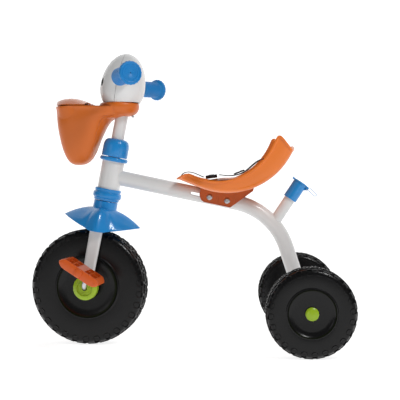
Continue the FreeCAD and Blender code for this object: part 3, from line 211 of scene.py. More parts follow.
def soften(solid, width, segments=3, sharper_than=25):
    """Rounds the edges that turn by more than an angle."""
    edges = [edge for edge in solid.edges
             if len(edge.link_faces) == 2
             and math.degrees(edge.calc_face_angle(0)) > sharper_than]
    bmesh.ops.bevel(solid, geom=edges, offset=width, offset_type="OFFSET", segments=segments,
                    profile=0.5, affect="EDGES", clamp_overlap=True, material=-1)
    return solid


def cut(solid, spot, normal, clear=False):
    """Splits a bmesh along a plane, and can drop what lies on the normal's side."""
    bmesh.ops.bisect_plane(solid, geom=solid.verts[:] + solid.edges[:] + solid.faces[:],
                           plane_co=spot, plane_no=normal, clear_outer=clear)


def points_of(geometry):
    """The vertices in an operator's result."""
    return [item for item in geometry if isinstance(item, bmesh.types.BMVert)]


def add(solid, other, where=Matrix.Identity(4)):
    """Puts a second bmesh into the first and frees it."""
    bmesh.ops.transform(other, matrix=where, verts=other.verts)
    carrier = bpy.data.meshes.new("carrier")
    other.to_mesh(carrier)
    other.free()
    solid.from_mesh(carrier)
    bpy.data.meshes.remove(carrier)
    return solid


def piece(name, solid, where, finish, body, slot, *nodes, sharp=38):
    """Makes the object of a finished bmesh, in its place and riding on its body."""
    bmesh.ops.transform(solid, matrix=where, verts=solid.verts)
    mesh = bpy.data.meshes.new(name)
    solid.to_mesh(mesh)
    solid.free()
    mesh.materials.append(finish.material)
    mesh.shade_smooth()
    mesh.set_sharp_from_angle(angle=math.radians(sharp))
    thing = bpy.data.objects.new(name, mesh)
    bpy.context.scene.collection.objects.link(thing)
    if body:
        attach(thing, body)
    if nodes:
        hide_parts(*nodes)
    return thing


def loop_link(length, breadth, wall, height, sunk=0.0008):
    """A flat rounded ring, length along X and breadth along Y, that stands up from Z = 0."""
    ring = bmesh.new()
    bmesh.ops.create_grid(ring, x_segments=1, y_segments=1, size=0.5)
    bmesh.ops.scale(ring, vec=(length, breadth, 1), verts=ring.verts)
    bmesh.ops.bevel(ring, geom=ring.verts[:], offset=min(length, breadth) * 0.36, segments=3,
                    profile=0.5, affect="VERTICES", material=-1)
    border = bmesh.ops.inset_individual(ring, faces=ring.faces[:], thickness=wall,
                                        use_even_offset=True)["faces"]
    middle = [face for face in ring.faces if face not in border]
    bmesh.ops.delete(ring, geom=middle, context="FACES")
    bmesh.ops.translate(ring, vec=(0, 0, -sunk), verts=ring.verts)
    top_verts = points_of(bmesh.ops.extrude_face_region(ring, geom=ring.faces[:])["geom"])
    bmesh.ops.translate(ring, vec=(0, 0, height + sunk), verts=top_verts)
    top_edges = [edge for edge in ring.edges
                 if all(vert in top_verts for vert in edge.verts)
                 and math.degrees(edge.calc_face_angle(0)) > 60]
    bmesh.ops.bevel(ring, geom=top_edges, offset=wall * 0.3, segments=1, profile=0.5,
                    affect="EDGES", material=-1)
    return ring


def wheel(name, where, radius, width, shoulder, bead, lugs, loop_size):
    """A turned tyre with raised loops and links, named as its body and its CAD node are."""
    groove, bore, dish_depth, wall_inset = 0.0022, 0.0055, 0.0075, 0.0011
    half = width / 2
    flat = half - shoulder
    dish = half - dish_depth
    wall_face = half - wall_inset
    side = [(bore, dish), (bead * 0.72, dish), (bead * 0.86, dish + 0.0007),
            (bead * 0.95, dish + 0.0035), (bead - 0.0012, wall_face - 0.0012),
            (bead + 0.0003, wall_face + 0.0007), (bead + 0.0022, wall_face + 0.0005),
            (bead + 0.0036, wall_face - 0.0009), ((bead + radius - shoulder) / 2, wall_face)]
    shoulder_steps = 9
    for step in range(shoulder_steps + 1):
        bend = math.pi / 2 * (1 - step / shoulder_steps)
        side.append((radius - shoulder + (shoulder - groove) * math.cos(bend),
                     flat + (shoulder - groove) * math.sin(bend)))
    tyre = lathe(side + [(reach, -height) for reach, height in reversed(side)], 128, closed=True)

    sector = bmesh.new()
    pitch = math.tau / lugs
    loop_length, loop_breadth = loop_size
    link_length = radius * pitch * 0.84
    # Each row: offset in pitches, length, breadth, distance out from the middle, wall.
    rows = [(0.0, loop_length, loop_breadth, flat + shoulder * 1.12, 0.0026),
            (0.5, link_length, 0.0098, flat - 0.0042, 0.0022),
            (0.0, link_length * 0.5, 0.0080, flat * 0.30, 0.0020)]
    for offset, length, breadth, over, wall in rows:
        for hand in (-1, 1):
            strip = loop_link(length, breadth, wall, groove)
            bmesh.ops.translate(strip, vec=(0, over, 0), verts=strip.verts)
            for share in (-0.3, 0.0, 0.3):
                cut(strip, (0, over + breadth * share, 0), (0, 1, 0))
            for vert in strip.verts:
                bend = min(max((vert.co.y - flat) / shoulder, 0), math.pi / 2)
                past = max(vert.co.y - flat - shoulder * math.pi / 2, 0)
                reach = radius - shoulder - past
                reach += (shoulder - groove + vert.co.z) * math.cos(bend)
                height = min(vert.co.y, flat) + (shoulder - groove + vert.co.z) * math.sin(bend)
                turn = pitch * (offset + 0.25 * hand) + vert.co.x / radius
                vert.co = (reach * math.cos(turn), reach * math.sin(turn), height * hand)
            add(sector, strip)
    bmesh.ops.spin(sector, geom=sector.verts[:] + sector.edges[:] + sector.faces[:],
                   cent=(0, 0, 0), axis=(0, 0, 1), dvec=(0, 0, 0), angle=math.tau - pitch,
                   steps=lugs - 1, use_duplicate=True)
    bmesh.ops.recalc_face_normals(sector, faces=sector.faces)
    piece(name, add(tyre, sector), where, wheel_black, name, "wheel_black", name, sharp=30)


column = axes_at(joints["steering_turn"]["pos_m"], joints["steering_turn"]["axis"],
                 joints["front_wheel_spin"]["axis"])
wheel("front_wheel", column @ sideways(1), radius=0.129, width=0.072, shoulder=0.016,
      bead=0.069, lugs=30, loop_size=(0.0165, 0.0185))
for side in ("left", "right"):
    spin = joints["rear_wheel_%s_spin" % side]
    wheel("rear_wheel_" + side, Matrix.Translation(spin["pos_m"]) @ sideways(1), radius=0.095,
          width=0.060, shoulder=0.014, bead=0.051, lugs=24, loop_size=(0.0155, 0.0170))

# ---- Wheel caps and hub covers ----
# Lime-green mouldings that snap over the axle nuts of the rear wheels and over the lower ends
# of the fork legs. The hub covers have turned steps round the crank.

lime = moulded("lime_plastic", (0.30, 0.46, 0.008), 0.34, Coat_Weight=0.2, Coat_Roughness=0.1)
dress(lime, "rear_cap_left", "rear_cap_right", "hub_cover_left", "hub_cover_right")
cover_face, cover_step = 0.060, 0.0035
ridge_radii, ridge_wire = (0.0105, 0.0142, 0.0178), 0.0010
hands = (("left", -1), ("right", 1))
for side, hand in hands:
    ridges = bmesh.new()
    for reach in ridge_radii:
        ridge = [(reach + ridge_wire * math.cos(turn), ridge_wire * math.sin(turn))
                 for turn in (math.tau * step / 8 for step in range(8))]
        add(ridges, lathe(ridge, 64, closed=True))
    piece("hub_ridges_" + side, ridges,
          column @ Matrix.Translation((0, cover_face * hand, 0)) @ sideways(hand) @
          Matrix.Translation((0, 0, cover_step)), lime, "steering", "lime_plastic")

# ---- Steering bushes, ring and column cover ----
# Blue mouldings on the head tube: a collar below, a thin ring above, and over it a bell-shaped
# cover that turns with the stem. All are smooth and glossy with rounded edges.

blue = moulded("blue_plastic", (0.010, 0.235, 0.600), 0.27, Coat_Weight=0.35,
               Coat_Roughness=0.08)
lean = joints["steering_turn"]["axis"]
straight = axes_at(joints["steering_turn"]["pos_m"], lean, (0, 1, 0))
stem_radius = 0.0142

ring_base = 0.286
ring = [(stem_radius, 0.0), (0.0290, 0.0), (0.0312, 0.0020), (0.0315, 0.0045), (0.0312, 0.0068),
        (0.0296, 0.0090), (stem_radius, 0.0090)]
piece("upper_ring", soften(lathe(ring, 96, closed=True), 0.0009),
      straight @ Matrix.Translation((0, 0, ring_base)), blue, "frame", "blue_plastic",
      "upper_head_bush")

collar_base = 0.196
collar = [(stem_radius, 0.0), (0.0280, 0.0), (0.0284, 0.0036), (0.0290, 0.0058),
          (0.0312, 0.0072), (0.0320, 0.0105), (0.0320, 0.0145), (0.0311, 0.0178),
          (0.0290, 0.0192), (0.0287, 0.0214), (0.0296, 0.0228), (0.0296, 0.0262),
          (0.0288, 0.0272), (0.0251, 0.0272), (0.0251, 0.0100), (stem_radius, 0.0100)]
piece("lower_collar", soften(lathe(collar, 96, closed=True), 0.0007),
      straight @ Matrix.Translation((0, 0, collar_base)), blue, "frame", "blue_plastic",
      "lower_head_bush")

bell_base = 0.2962
bell = [(0.0262, 0.0), (0.0286, 0.0), (0.0290, 0.0012), (0.0290, 0.0240), (0.0281, 0.0300),
        (0.0259, 0.0355), (0.0222, 0.0392), (0.0170, 0.0408), (stem_radius, 0.0410),
        (stem_radius, 0.0330), (0.0210, 0.0330), (0.0262, 0.0250)]
piece("column_bell", soften(lathe(bell, 96, closed=True), 0.0008),
      column @ Matrix.Translation((0, 0, bell_base)), blue, "steering", "blue_plastic",
      "column_cover")

# ---- Fender ----
# One blue shell that hangs on the fork crown: a neck under the collar that flares into two
# pointed wings along the tyre and a rounded lobe over each fork leg.

fender_turns = 120
fender_rings = 14
wing_length, wing_width, neck_reach = 0.176, 0.140, 0.027
neck_foot, fender_floor, tip_rise, flat_half = 0.178, 0.128, 0.022, 0.016
edge_power, lobe_half, lobe_swell = 1.3, 0.24, 0.0042
dent_turn, dent_half, dent_share = 0.46, 0.11, 0.45
sag_fore, sag_beside, sag_corner = 0.016, 0.075, 0.020


def ease(share):
    """A smooth step from 0 to 1."""
    share = min(max(share, 0), 1)
    return share * share * (3 - 2 * share)


def fender_spot(turn, share):
    """A point of the shell: turn is the angle about the column, share runs neck to edge."""
    fore, beside = math.cos(turn), math.sin(turn)
    edge = ((2 * abs(fore) / wing_length) ** edge_power
            + (2 * abs(beside) / wing_width) ** edge_power) ** (-1 / edge_power)
    dent = math.exp(-((abs(fore) - dent_turn) / dent_half) ** 2)
    lobe = math.exp(-(fore / lobe_half) ** 2) - dent_share * dent
    reach = neck_reach + (edge - neck_reach) * share
    reach += lobe_swell * lobe * ease(share * 1.6)
    wing = max(abs(edge * fore) - flat_half, 0) / (wing_length / 2 - flat_half)
    tip = fender_floor + tip_rise * wing
    sag = sag_fore * fore ** 4 + sag_beside * beside ** 4 - sag_corner * abs(fore * beside)
    height = neck_foot + (tip - neck_foot) * share + sag * share * (1 - share)
    return Vector((reach * fore, reach * beside, height))


def extend(solid, edges):
    """Extrudes a chain of edges, and gives the new points and the new edges that join them."""
    grown = bmesh.ops.extrude_edge_only(solid, edges=edges)["geom"]
    fresh = points_of(grown)
    ahead = [item for item in grown if isinstance(item, bmesh.types.BMEdge)
             and all(vert in fresh for vert in item.verts)]
    return fresh, ahead


def face_up(solid):
    """Makes the normals of an open sheet agree and point mostly upwards."""
    bmesh.ops.recalc_face_normals(solid, faces=solid.faces)
    if sum(face.normal.z for face in solid.faces) < 0:
        bmesh.ops.reverse_faces(solid, faces=solid.faces)


def thicken(thing, thickness, side):
    """Gives a sheet its wall, on the side of its normals (1) or behind them (-1)."""
    wall = thing.modifiers.new("wall", "SOLIDIFY")
    wall.thickness = thickness
    wall.offset = side


def round_edges(thing, width, segments, sharper_than=30):
    """Rounds the edges of a finished piece that turn by more than an angle."""
    edge_round = thing.modifiers.new("edge_round", "BEVEL")
    edge_round.width = width
    edge_round.segments = segments
    edge_round.limit_method = "ANGLE"
    edge_round.angle_limit = math.radians(sharper_than)


shell = bmesh.new()
bmesh.ops.create_circle(shell, segments=fender_turns, radius=neck_reach)
for vert in shell.verts:
    vert.co.z = neck_foot
edge_ring = shell.edges[:]
for step in range(1, fender_rings + 1):
    fresh, edge_ring = extend(shell, edge_ring)
    for vert in fresh:
        vert.co = fender_spot(math.atan2(vert.co.y, vert.co.x), step / fender_rings)
face_up(shell)
fender = piece("fender_shell", shell, column, blue, "steering", "blue_plastic", "fender",
               sharp=60)
thicken(fender, 0.0024, -1)
round_edges(fender, 0.0006, 2)
neck = [(stem_radius, 0.150), (0.0265, 0.150), (0.0276, 0.1765), (0.0270, 0.1800),
        (0.0268, 0.1940), (0.0258, 0.1950), (stem_radius, 0.1950)]
piece("fender_neck", soften(lathe(neck, 96, closed=True), 0.0008), column, blue, "steering",
      "blue_plastic")

# ---- Pedals ----
# Each pedal is an orange moulding that turns on the crank: a slab with rounded, narrowed ends,
# open pockets between cross ribs on top and a small boss at each end of its sides. A domed cap
# of the same orange covers the push nut that holds it.

pedal_orange = moulded("pedal_orange", (0.66, 0.105, 0.012), 0.33, Coat_Weight=0.15,
                       Coat_Roughness=0.12)
pedal_half, pedal_half_width, pedal_thick = 0.049, 0.039, 0.010
pocket_depth, pocket_draft = 0.0150, 0.0010
pocket_inner, pocket_outer = 0.0015, 0.0345
ribs = (-0.0360, -0.0226, -0.0196, -0.0085, 0.0085, 0.0196, 0.0226, 0.0360)
boss_along, boss_drop, rest_tilt = 0.0405, 0.001, math.radians(33)
for side, hand in hands:
    spin = joints["pedal_%s_spin" % side]
    slab = bmesh.new()
    end_curve = [(pedal_half - 0.017, -pedal_thick), (pedal_half - 0.009, -pedal_thick * 0.82),
                 (pedal_half - 0.0025, -pedal_thick * 0.42), (pedal_half, 0.0),
                 (pedal_half - 0.0030, pedal_thick * 0.50), (pedal_half - 0.010, pedal_thick)]
    corners = end_curve + [(-x, z) for x, z in reversed(end_curve)]
    outline = slab.faces.new([slab.verts.new((x, -pedal_half_width, z)) for x, z in corners])
    far_side = points_of(bmesh.ops.extrude_face_region(slab, geom=[outline])["geom"])
    bmesh.ops.translate(slab, vec=(0, pedal_half_width * 2, 0), verts=far_side)
    bmesh.ops.recalc_face_normals(slab, faces=slab.faces)
    soften(slab, 0.0016, 3)
    for x in ribs:
        cut(slab, (x, 0, 0), (1, 0, 0))
    for y in (-pocket_outer, -pocket_inner, pocket_inner, pocket_outer):
        cut(slab, (0, y, 0), (0, 1, 0))
    pockets = []
    for face in slab.faces:
        middle = face.calc_center_median()
        between = any(low < middle.x < high for low, high in zip(ribs[0::2], ribs[1::2]))
        if (face.normal.z > 0.99 and middle.z > pedal_thick * 0.99 and between
                and pocket_inner < abs(middle.y) < pocket_outer):
            pockets.append(face)
    bmesh.ops.inset_individual(slab, faces=pockets, thickness=pocket_draft,
                               depth=-pocket_depth, use_even_offset=True)
    for end in (-1, 1):
        for flank in (-1, 1):
            boss = lathe([(0, 0), (0.0026, 0), (0.0026, 0.0006), (0.0019, 0.0009), (0, 0.0009)], 24)
            foot = Matrix.Translation((boss_along * end, (pedal_half_width - 0.0003) * flank,
                                       -boss_drop))
            add(slab, boss, foot @ sideways(flank))
    lean_angle = math.atan2(lean[0], lean[2])
    where = axes_at(spin["pos_m"], lean, spin["axis"])
    where = where @ Matrix.Rotation(rest_tilt - lean_angle, 4, "Y")
    piece("pedal_" + side, slab, where, pedal_orange, "pedal_" + side, "pedal_orange",
          "pedal_" + side, sharp=35)
    cap = lathe([(0.0, 0.0), (0.0088, 0.0), (0.0088, 0.0012), (0.0076, 0.0029), (0.0045, 0.0035),
                 (0.0, 0.0036)], 32)
    piece("pedal_cap_" + side, cap,
          where @ Matrix.Translation((0, (pedal_half_width + 0.0003) * hand, 0)) @ sideways(hand),
          pedal_orange, "front_wheel", "pedal_orange", "pedal_nut_" + side)

# ---- Grips ----
# Soft blue sleeves pushed on the ends of the handlebar: fine ribs for the fingers, and a wide
# flange whose rim is scalloped and whose end is pebbled round a small vent hole.

grip_blue = moulded("grip_blue", (0.008, 0.215, 0.560), 0.40, 0.00012, 700)
# A matte black that stands for the dark inside of the grips' vent holes: painted shade.
vent_painted_shade = Finish("vent_painted_shade", (0.004, 0.004, 0.005), Roughness=0.8)
bar_height, bar_lift, bar_sweep = 0.464, math.radians(14.8), math.radians(30.4)
half_straight, grip_start = 0.130, 0.012
grip_radius, flange_radius, bar_radius = 0.0190, 0.0245, 0.0111
scallops, rib_count, rib_pitch, rib_depth = 20, 22, 0.0024, 0.0005
pebble_rings, pebble_height = ((6, 0.0046), (12, 0.0075), (18, 0.0104), (24, 0.0130)), 0.0661
bar = column @ Matrix.Translation((0, 0, bar_height)) @ Matrix.Rotation(-bar_lift, 4, "Y")
for side, hand in hands:
    outline = [(bar_radius, 0.0), (grip_radius - 0.0012, 0.0), (grip_radius, 0.0012)]
    for rib in range(rib_count):
        start = 0.0016 + rib * rib_pitch
        outline += [(grip_radius, start), (grip_radius, start + rib_pitch * 0.55),
                    (grip_radius - rib_depth, start + rib_pitch * 0.70),
                    (grip_radius - rib_depth, start + rib_pitch * 0.90)]
    outline += [(grip_radius, 0.0555), (grip_radius + 0.0022, 0.0578),
                (flange_radius - 0.0008, 0.0592), (flange_radius, 0.0605),
                (flange_radius, 0.0655), (flange_radius - 0.0012, 0.0678),
                (flange_radius - 0.0030, 0.0680), (flange_radius - 0.0044, 0.0668),
                (flange_radius - 0.0062, 0.0664), (flange_radius - 0.0072, 0.0673),
                (flange_radius - 0.0086, 0.0673), (flange_radius - 0.0096, 0.0662),
                (0.0022, 0.0662), (0.0012, 0.0655), (0.0012, 0.0600), (0.0, 0.0600)]
    grip = lathe(outline, 80)
    for step in range(scallops):
        turn = math.tau * step / scallops
        bump = bmesh.new()
        bmesh.ops.create_uvsphere(bump, u_segments=12, v_segments=6, radius=0.0021)
        bmesh.ops.scale(bump, vec=(0.45, 1.1, 1.55), verts=bump.verts)
        add(grip, bump, Matrix.Rotation(turn, 4, "Z") @
            Matrix.Translation((flange_radius - 0.0001, 0, 0.0630)))
    for count, reach in pebble_rings:
        for step in range(count):
            turn = math.tau * (step + reach * 90) / count
            pebble = bmesh.new()
            bmesh.ops.create_icosphere(pebble, subdivisions=1, radius=0.00085)
            add(grip, pebble, Matrix.Translation((reach * math.cos(turn), reach * math.sin(turn),
                                                  pebble_height)))
    sleeve_foot = bar @ Matrix.Translation(
        (grip_start * math.sin(bar_sweep),
         (half_straight + grip_start * math.cos(bar_sweep)) * hand, 0))
    where = sleeve_foot @ Matrix.Rotation(-bar_sweep * hand, 4, "Z") @ sideways(hand)
    piece("grip_" + side, grip, where, grip_blue, "steering", "blue_grip", "grip_" + side)
    # A black plug sunk in the vent hole, painted shade for the hole's dark depth.
    vent = lathe([(0.0, 0.0), (0.00118, 0.0), (0.00118, 0.0042), (0.0, 0.0042)], 16)
    piece("grip_vent_painted_shade_" + side, vent,
          where @ Matrix.Translation((0, 0, 0.0602)), vent_painted_shade, "steering", "blue_grip")

# ---- Head ----
# The handlebar cover is an egg-shaped bird's head in two glossy white shells that meet at a
# fine seam; an oval black eye sits in a shallow rim on each side of its front.

head_white = moulded("head_white", (0.72, 0.72, 0.715), 0.26, 0.00004, 600, Coat_Weight=0.4,
                     Coat_Roughness=0.07)
upright = column @ Matrix.Rotation(-math.atan2(lean[0], lean[2]), 4, "Y")
egg_middle = (-0.010, 0, 0.450)
egg_radius, egg_above, egg_below = 0.0504, 0.0790, 0.0560
rim_height = 0.4035
seat_of_head = rim_height + 0.0085
seam_at, seam_half = -0.0060, 0.00045
egg_place = column @ Matrix.Translation(egg_middle)
to_upright = egg_place.inverted() @ upright
for label, direction in (("head_front", 1), ("head_rear", -1)):
    shell = bmesh.new()
    bmesh.ops.create_uvsphere(shell, u_segments=96, v_segments=64, radius=1.0)
    above = [vert for vert in shell.verts if vert.co.z > 0]
    below = [vert for vert in shell.verts if vert.co.z <= 0]
    bmesh.ops.scale(shell, vec=(egg_radius, egg_radius, egg_above), verts=above)
    bmesh.ops.scale(shell, vec=(egg_radius, egg_radius, egg_below), verts=below)
    cut(shell, (seam_at - seam_half * direction, 0, 0), (direction, 0, 0), clear=True)
    cut(shell, to_upright @ Vector((0, 0, seat_of_head)),
        to_upright.to_3x3() @ Vector((0, 0, -1)), clear=True)
    head = piece(label + "_shell", shell, egg_place, head_white, "steering", "head_white", label)
    thicken(head, 0.0024, -1)
    round_edges(head, 0.0006, 3, 50)

eye_black = moulded("eye_black", (0.008, 0.008, 0.009), 0.14, 0.00002, Coat_Weight=0.6,
                    Coat_Roughness=0.03)
eye_turn, eye_tall, eye_wide, eye_up = math.radians(33), 0.0105, 0.0066, 0.0055
eye_sunk = 0.0008
for side, hand in hands:
    for label, grow, depth, look, names in (
            ("eye_rim_", 1.32, 0.0017, head_white, ()), ("eye_", 1.0, 0.0028, eye_black, ("eyes",))):
        button = bmesh.new()
        bmesh.ops.create_uvsphere(button, u_segments=32, v_segments=20, radius=1.0)
        bmesh.ops.scale(button, vec=(depth, eye_wide * grow, eye_tall * grow), verts=button.verts)
        where = egg_place @ Matrix.Rotation(-eye_turn * hand, 4, "Z")
        where = where @ Matrix.Translation((-egg_radius + eye_sunk, 0, eye_up))
        piece(label + side, button, where, look, "steering",
              "black_plastic" if names else "head_white", *names)

# ---- Basket ----
# A beak-shaped pouch in satin orange plastic. A saucer moulded on behind it slides over the
# stem and carries the head, and two knuckles on its deck hold the lid's pin.

basket_orange = moulded("basket_orange", (0.64, 0.140, 0.012), 0.38, Coat_Weight=0.1,
                        Coat_Roughness=0.2)
pouch_steps = 72
half_width = 0.056


def oval_spot(turn, front, back, breadth, height, power=2.5):
    """A point of a rounded-off oval round the pouch, drawn in where it meets the saucer."""
    fore, beside = math.cos(turn), math.sin(turn)
    along = (front + back) / 2 + (back - front) / 2 * math.copysign(abs(fore) ** (2 / power), fore)
    narrowing = 1 - 0.20 * ease((along - 0.010) / 0.050)
    return Vector((along, breadth * narrowing * math.copysign(abs(beside) ** (2 / power), beside),
                   height))


# Each level: depth below the rim, front, back, half width. The wall goes up outside, over the
# rim and down inside.
outside = [(0.131, -0.030, -0.022, 0.005), (0.1302, -0.035, -0.016, 0.011),
           (0.1285, -0.040, -0.0095, 0.018), (0.125, -0.045, -0.003, 0.025),
           (0.119, -0.050, 0.003, 0.031), (0.112, -0.054, 0.009, 0.036),
           (0.096, -0.061, 0.018, 0.044), (0.072, -0.067, 0.029, 0.049),
           (0.046, -0.072, 0.041, 0.053), (0.034, -0.073, 0.050, 0.0545),
           (0.027, -0.0738, 0.061, 0.0552), (0.0215, -0.0742, 0.080, 0.0556),
           (0.016, -0.0746, 0.093, 0.0559), (0.010, -0.0752, 0.1015, 0.0562),
           (0.0050, -0.0755, 0.1035, 0.0572), (0.0038, -0.0768, 0.1040, 0.0582),
           (0.0010, -0.0770, 0.1040, 0.0582), (0.0, -0.0760, 0.1030, 0.0572)]
inside = [(0.0002, -0.0735, -0.0020, half_width - 0.0012),
          (0.0025, -0.0728, -0.0016, half_width - 0.0020),
          (0.022, -0.071, 0.022, half_width - 0.003), (0.046, -0.0685, 0.024, 0.050),
          (0.072, -0.0635, 0.020, 0.046), (0.095, -0.057, 0.013, 0.041),
          (0.111, -0.050, 0.005, 0.033), (0.122, -0.042, -0.006, 0.022),
          (0.128, -0.033, -0.019, 0.009)]
pouch = bmesh.new()
bmesh.ops.create_circle(pouch, segments=pouch_steps, radius=1.0, cap_ends=True)
turns = {vert: math.atan2(vert.co.y, vert.co.x) for vert in pouch.verts}
for vert in pouch.verts:
    depth, front, back, breadth = outside[0]
    vert.co = oval_spot(turns[vert], front, back, breadth, rim_height - depth)
edge_ring = pouch.edges[:]
for depth, front, back, breadth in outside[1:] + inside:
    fresh, edge_ring = extend(pouch, edge_ring)
    last = {}
    for edge in (edge for vert in fresh for edge in vert.link_edges):
        for vert, other in (edge.verts, reversed(edge.verts)):
            if vert in fresh and other in turns and other not in fresh:
                last[vert] = turns[other]
    turns.update(last)
    for vert in fresh:
        vert.co = oval_spot(turns[vert], front, back, breadth, rim_height - depth)
bmesh.ops.contextual_create(pouch, geom=edge_ring)
bmesh.ops.recalc_face_normals(pouch, faces=pouch.faces)
panel_top, panel_foot = rim_height - 0.022, rim_height - 0.112
rear = []
for face in pouch.faces:
    middle = face.calc_center_median()
    turn_off = abs(middle.y) / max(middle.x + 0.016, 0.001)
    if (panel_foot < middle.z < panel_top and face.normal.x > 0.3
            and turn_off < 0.95 and middle.x > 0.004):
        rear.append(face)
bmesh.ops.inset_region(pouch, faces=rear, thickness=0.0030, depth=-0.0034,
                       use_even_offset=True)
pin_back, pin_up = 0.0025, 0.004
knuckle_radius, knuckle_length = 0.0034, 0.0114


def subdivide(thing, levels):
    """Smooths a coarse piece with a live subdivision."""
    smooth = thing.modifiers.new("smooth", "SUBSURF")
    smooth.levels = smooth.render_levels = levels


def knuckle(place, foot_height):
    """One barrel of the lid's hinge with the web that joins it to its part."""
    barrel = bmesh.new()
    bmesh.ops.create_cone(barrel, cap_ends=True, segments=32, radius1=knuckle_radius,
                          radius2=knuckle_radius, depth=knuckle_length)
    bmesh.ops.rotate(barrel, cent=(0, 0, 0), matrix=Matrix.Rotation(math.radians(90), 3, "X"),
                     verts=barrel.verts)
    web = bmesh.new()
    bmesh.ops.create_cube(web, size=1.0)
    bmesh.ops.scale(web, vec=(0.0062, knuckle_length, foot_height), verts=web.verts)
    bmesh.ops.translate(web, vec=(0, 0, -foot_height / 2), verts=web.verts)
    add(barrel, web)
    soften(barrel, 0.0006, 2, 50)
    bmesh.ops.translate(barrel, vec=(pin_back, place, rim_height + pin_up), verts=barrel.verts)
    return barrel


for place in (-0.024, 0.024):
    add(pouch, knuckle(place, 0.008))
basket = piece("basket_pouch", pouch, upright, basket_orange, "steering", "deep_orange",
               "basket", sharp=40)
subdivide(basket, 1)

saucer_back, saucer_tall = 0.0665, 0.030
saucer_foot = seat_of_head - 0.00005 - saucer_tall
saucer = [(stem_radius, 0.0), (0.0200, 0.0), (0.0285, 0.0012), (0.0360, 0.0045), (0.0410, 0.0095),
          (0.0438, 0.0155), (0.0447, 0.0210), (0.0444, 0.0252), (0.0432, 0.0284),
          (0.0412, saucer_tall), (0.0392, saucer_tall), (0.0388, 0.0200), (0.0325, 0.0065),
          (0.0180, 0.0035), (stem_radius, 0.0035)]
piece("basket_saucer", soften(lathe(saucer, 96, closed=True), 0.0006, 2, 50),
      upright @ Matrix.Translation((saucer_back, 0, saucer_foot)), basket_orange, "steering",
      "deep_orange")

# ---- Basket lid ----
# The upper beak: a thin domed shell in the same orange, glossier on top, that lies on the
# pouch's rim and swings on two knuckles between the basket's own.

lid_orange = moulded("lid_orange", (0.62, 0.145, 0.020), 0.26, Coat_Weight=0.35,
                     Coat_Roughness=0.10)
lid_back, lid_length, lid_rise, lid_wall = -0.0020, 0.076, 0.021, 0.0025
lid_foot = rim_height + 0.0005 + lid_wall * 0.15
row_spread, outline_power, tip_half, edge_bend, edge_height = 1.35, 3.2, 0.0060, 2.6, 0.0022
lid = bmesh.new()
bmesh.ops.create_grid(lid, x_segments=22, y_segments=20, size=1.0)
for vert in lid.verts:
    share = (1 - vert.co.x) / 2
    across = vert.co.y
    share = 1 - (1 - share) ** row_spread
    reach = (half_width + 0.0008) * math.sqrt(max(1 - share ** outline_power, 0.0))
    reach = max(reach, tip_half)
    crest = max(lid_rise * (0.5 + 1.75 * share - 1.62 * share ** 2) - 0.002, 0.0025)
    edge = abs(across) ** edge_bend
    vert.co = Vector((lid_back - (lid_length + lid_back) * share, reach * across,
                      crest * (1 - edge) + edge_height * edge))
face_up(lid)
bmesh.ops.solidify(lid, geom=lid.faces[:], thickness=lid_wall * 0.75)
bmesh.ops.translate(lid, vec=(0, 0, lid_foot), verts=lid.verts)
for place in (-0.012, 0.012):
    add(lid, knuckle(place, 0.0034))
    link = bmesh.new()
    bmesh.ops.create_cube(link, size=1.0)
    bmesh.ops.scale(link, vec=(0.0085, knuckle_length, 0.0034), verts=link.verts)
    soften(link, 0.0006, 2, 50)
    add(lid, link, Matrix.Translation((lid_back - 0.0008, place, rim_height + 0.0048)))
lid_shell = piece("lid_shell", lid, upright, lid_orange, "basket_lid", "deep_orange",
                  "basket_lid", sharp=50)
round_edges(lid_shell, 0.0007, 2, 50)

# ---- Seat ----
# A bucket moulded in one piece of bright orange plastic: it curves up into a low back, its
# flanks stand up all round, and a ridge between the rider's legs clears the main tube.

seat_orange = moulded("seat_orange", (0.80, 0.190, 0.020), 0.33, Coat_Weight=0.2,
                      Coat_Roughness=0.14)
down_tube = -Vector(joints["seat_slide"]["axis"])
bolt_low, bolt_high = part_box("seat_bolts")
saddle = axes_at(((bolt_low.x + bolt_high.x) / 2, 0, (bolt_low.z + bolt_high.z) / 2),
                 down_tube.cross(Vector((0, 1, 0))), (0, 1, 0))
arc_middle = (-0.0164, 0, 0.1716)
arc_radius, wide, seat_wall, ridge = 0.158, 0.112, 0.0035, 0.032
front_angle, back_angle, nose_share, nose_length = -9.8, 75.0, 0.3, 0.054
nose_rake, back_rake, crown_rise, rim_spread, rim_lip = 0.9, 0.5, 0.014, 0.0030, 0.0022


def seat_spot(station, across, up):
    """A point of the seat, from the nose (0) to the top of the back (1)."""
    run = min(station / nose_share - 1, 0) * nose_length
    bend = (back_angle - front_angle) * max(station - nose_share, 0) / (1 - nose_share)
    angle = math.radians(front_angle + bend)
    rake = nose_rake * max(1 - station / nose_share, 0) + back_rake * max(station - 0.6, 0) / 0.4
    crown = crown_rise * max(station - 0.7, 0) / 0.3 * (1 - (across / wide) ** 2)
    along = run + rake * up + crown
    return Vector((math.sin(angle) * (arc_radius - up) + math.cos(angle) * along, across,
                   -math.cos(angle) * (arc_radius - up) + math.sin(angle) * along))


def seat_section(station):
    """Half of the cross-section at a station: (across, up) from the ridge out to the rim."""
    tall = 0.016 + 0.029 * ease((station - 0.15) / 0.85)
    if station < nose_share:
        angle = front_angle + math.degrees((station / nose_share - 1) * nose_length / arc_radius)
    else:
        angle = front_angle + (back_angle - front_angle) * (station - nose_share) / (1 - nose_share)
    low = 0.0035
    hump = low + (ridge - low) * ease((angle + 25) / 35) * (1 - ease((angle - 22) / 35))
    edge = wide * (0.72 + 0.28 * ease(station / 0.45))
    return [(0, hump), (0.024, hump * 0.86), (0.037, hump * 0.35), (edge * 0.55, 0.0005),
            (edge - 0.016, 0.0005), (edge - 0.005, 0.006), (edge - 0.0004, tall * 0.55),
            (edge, tall)]


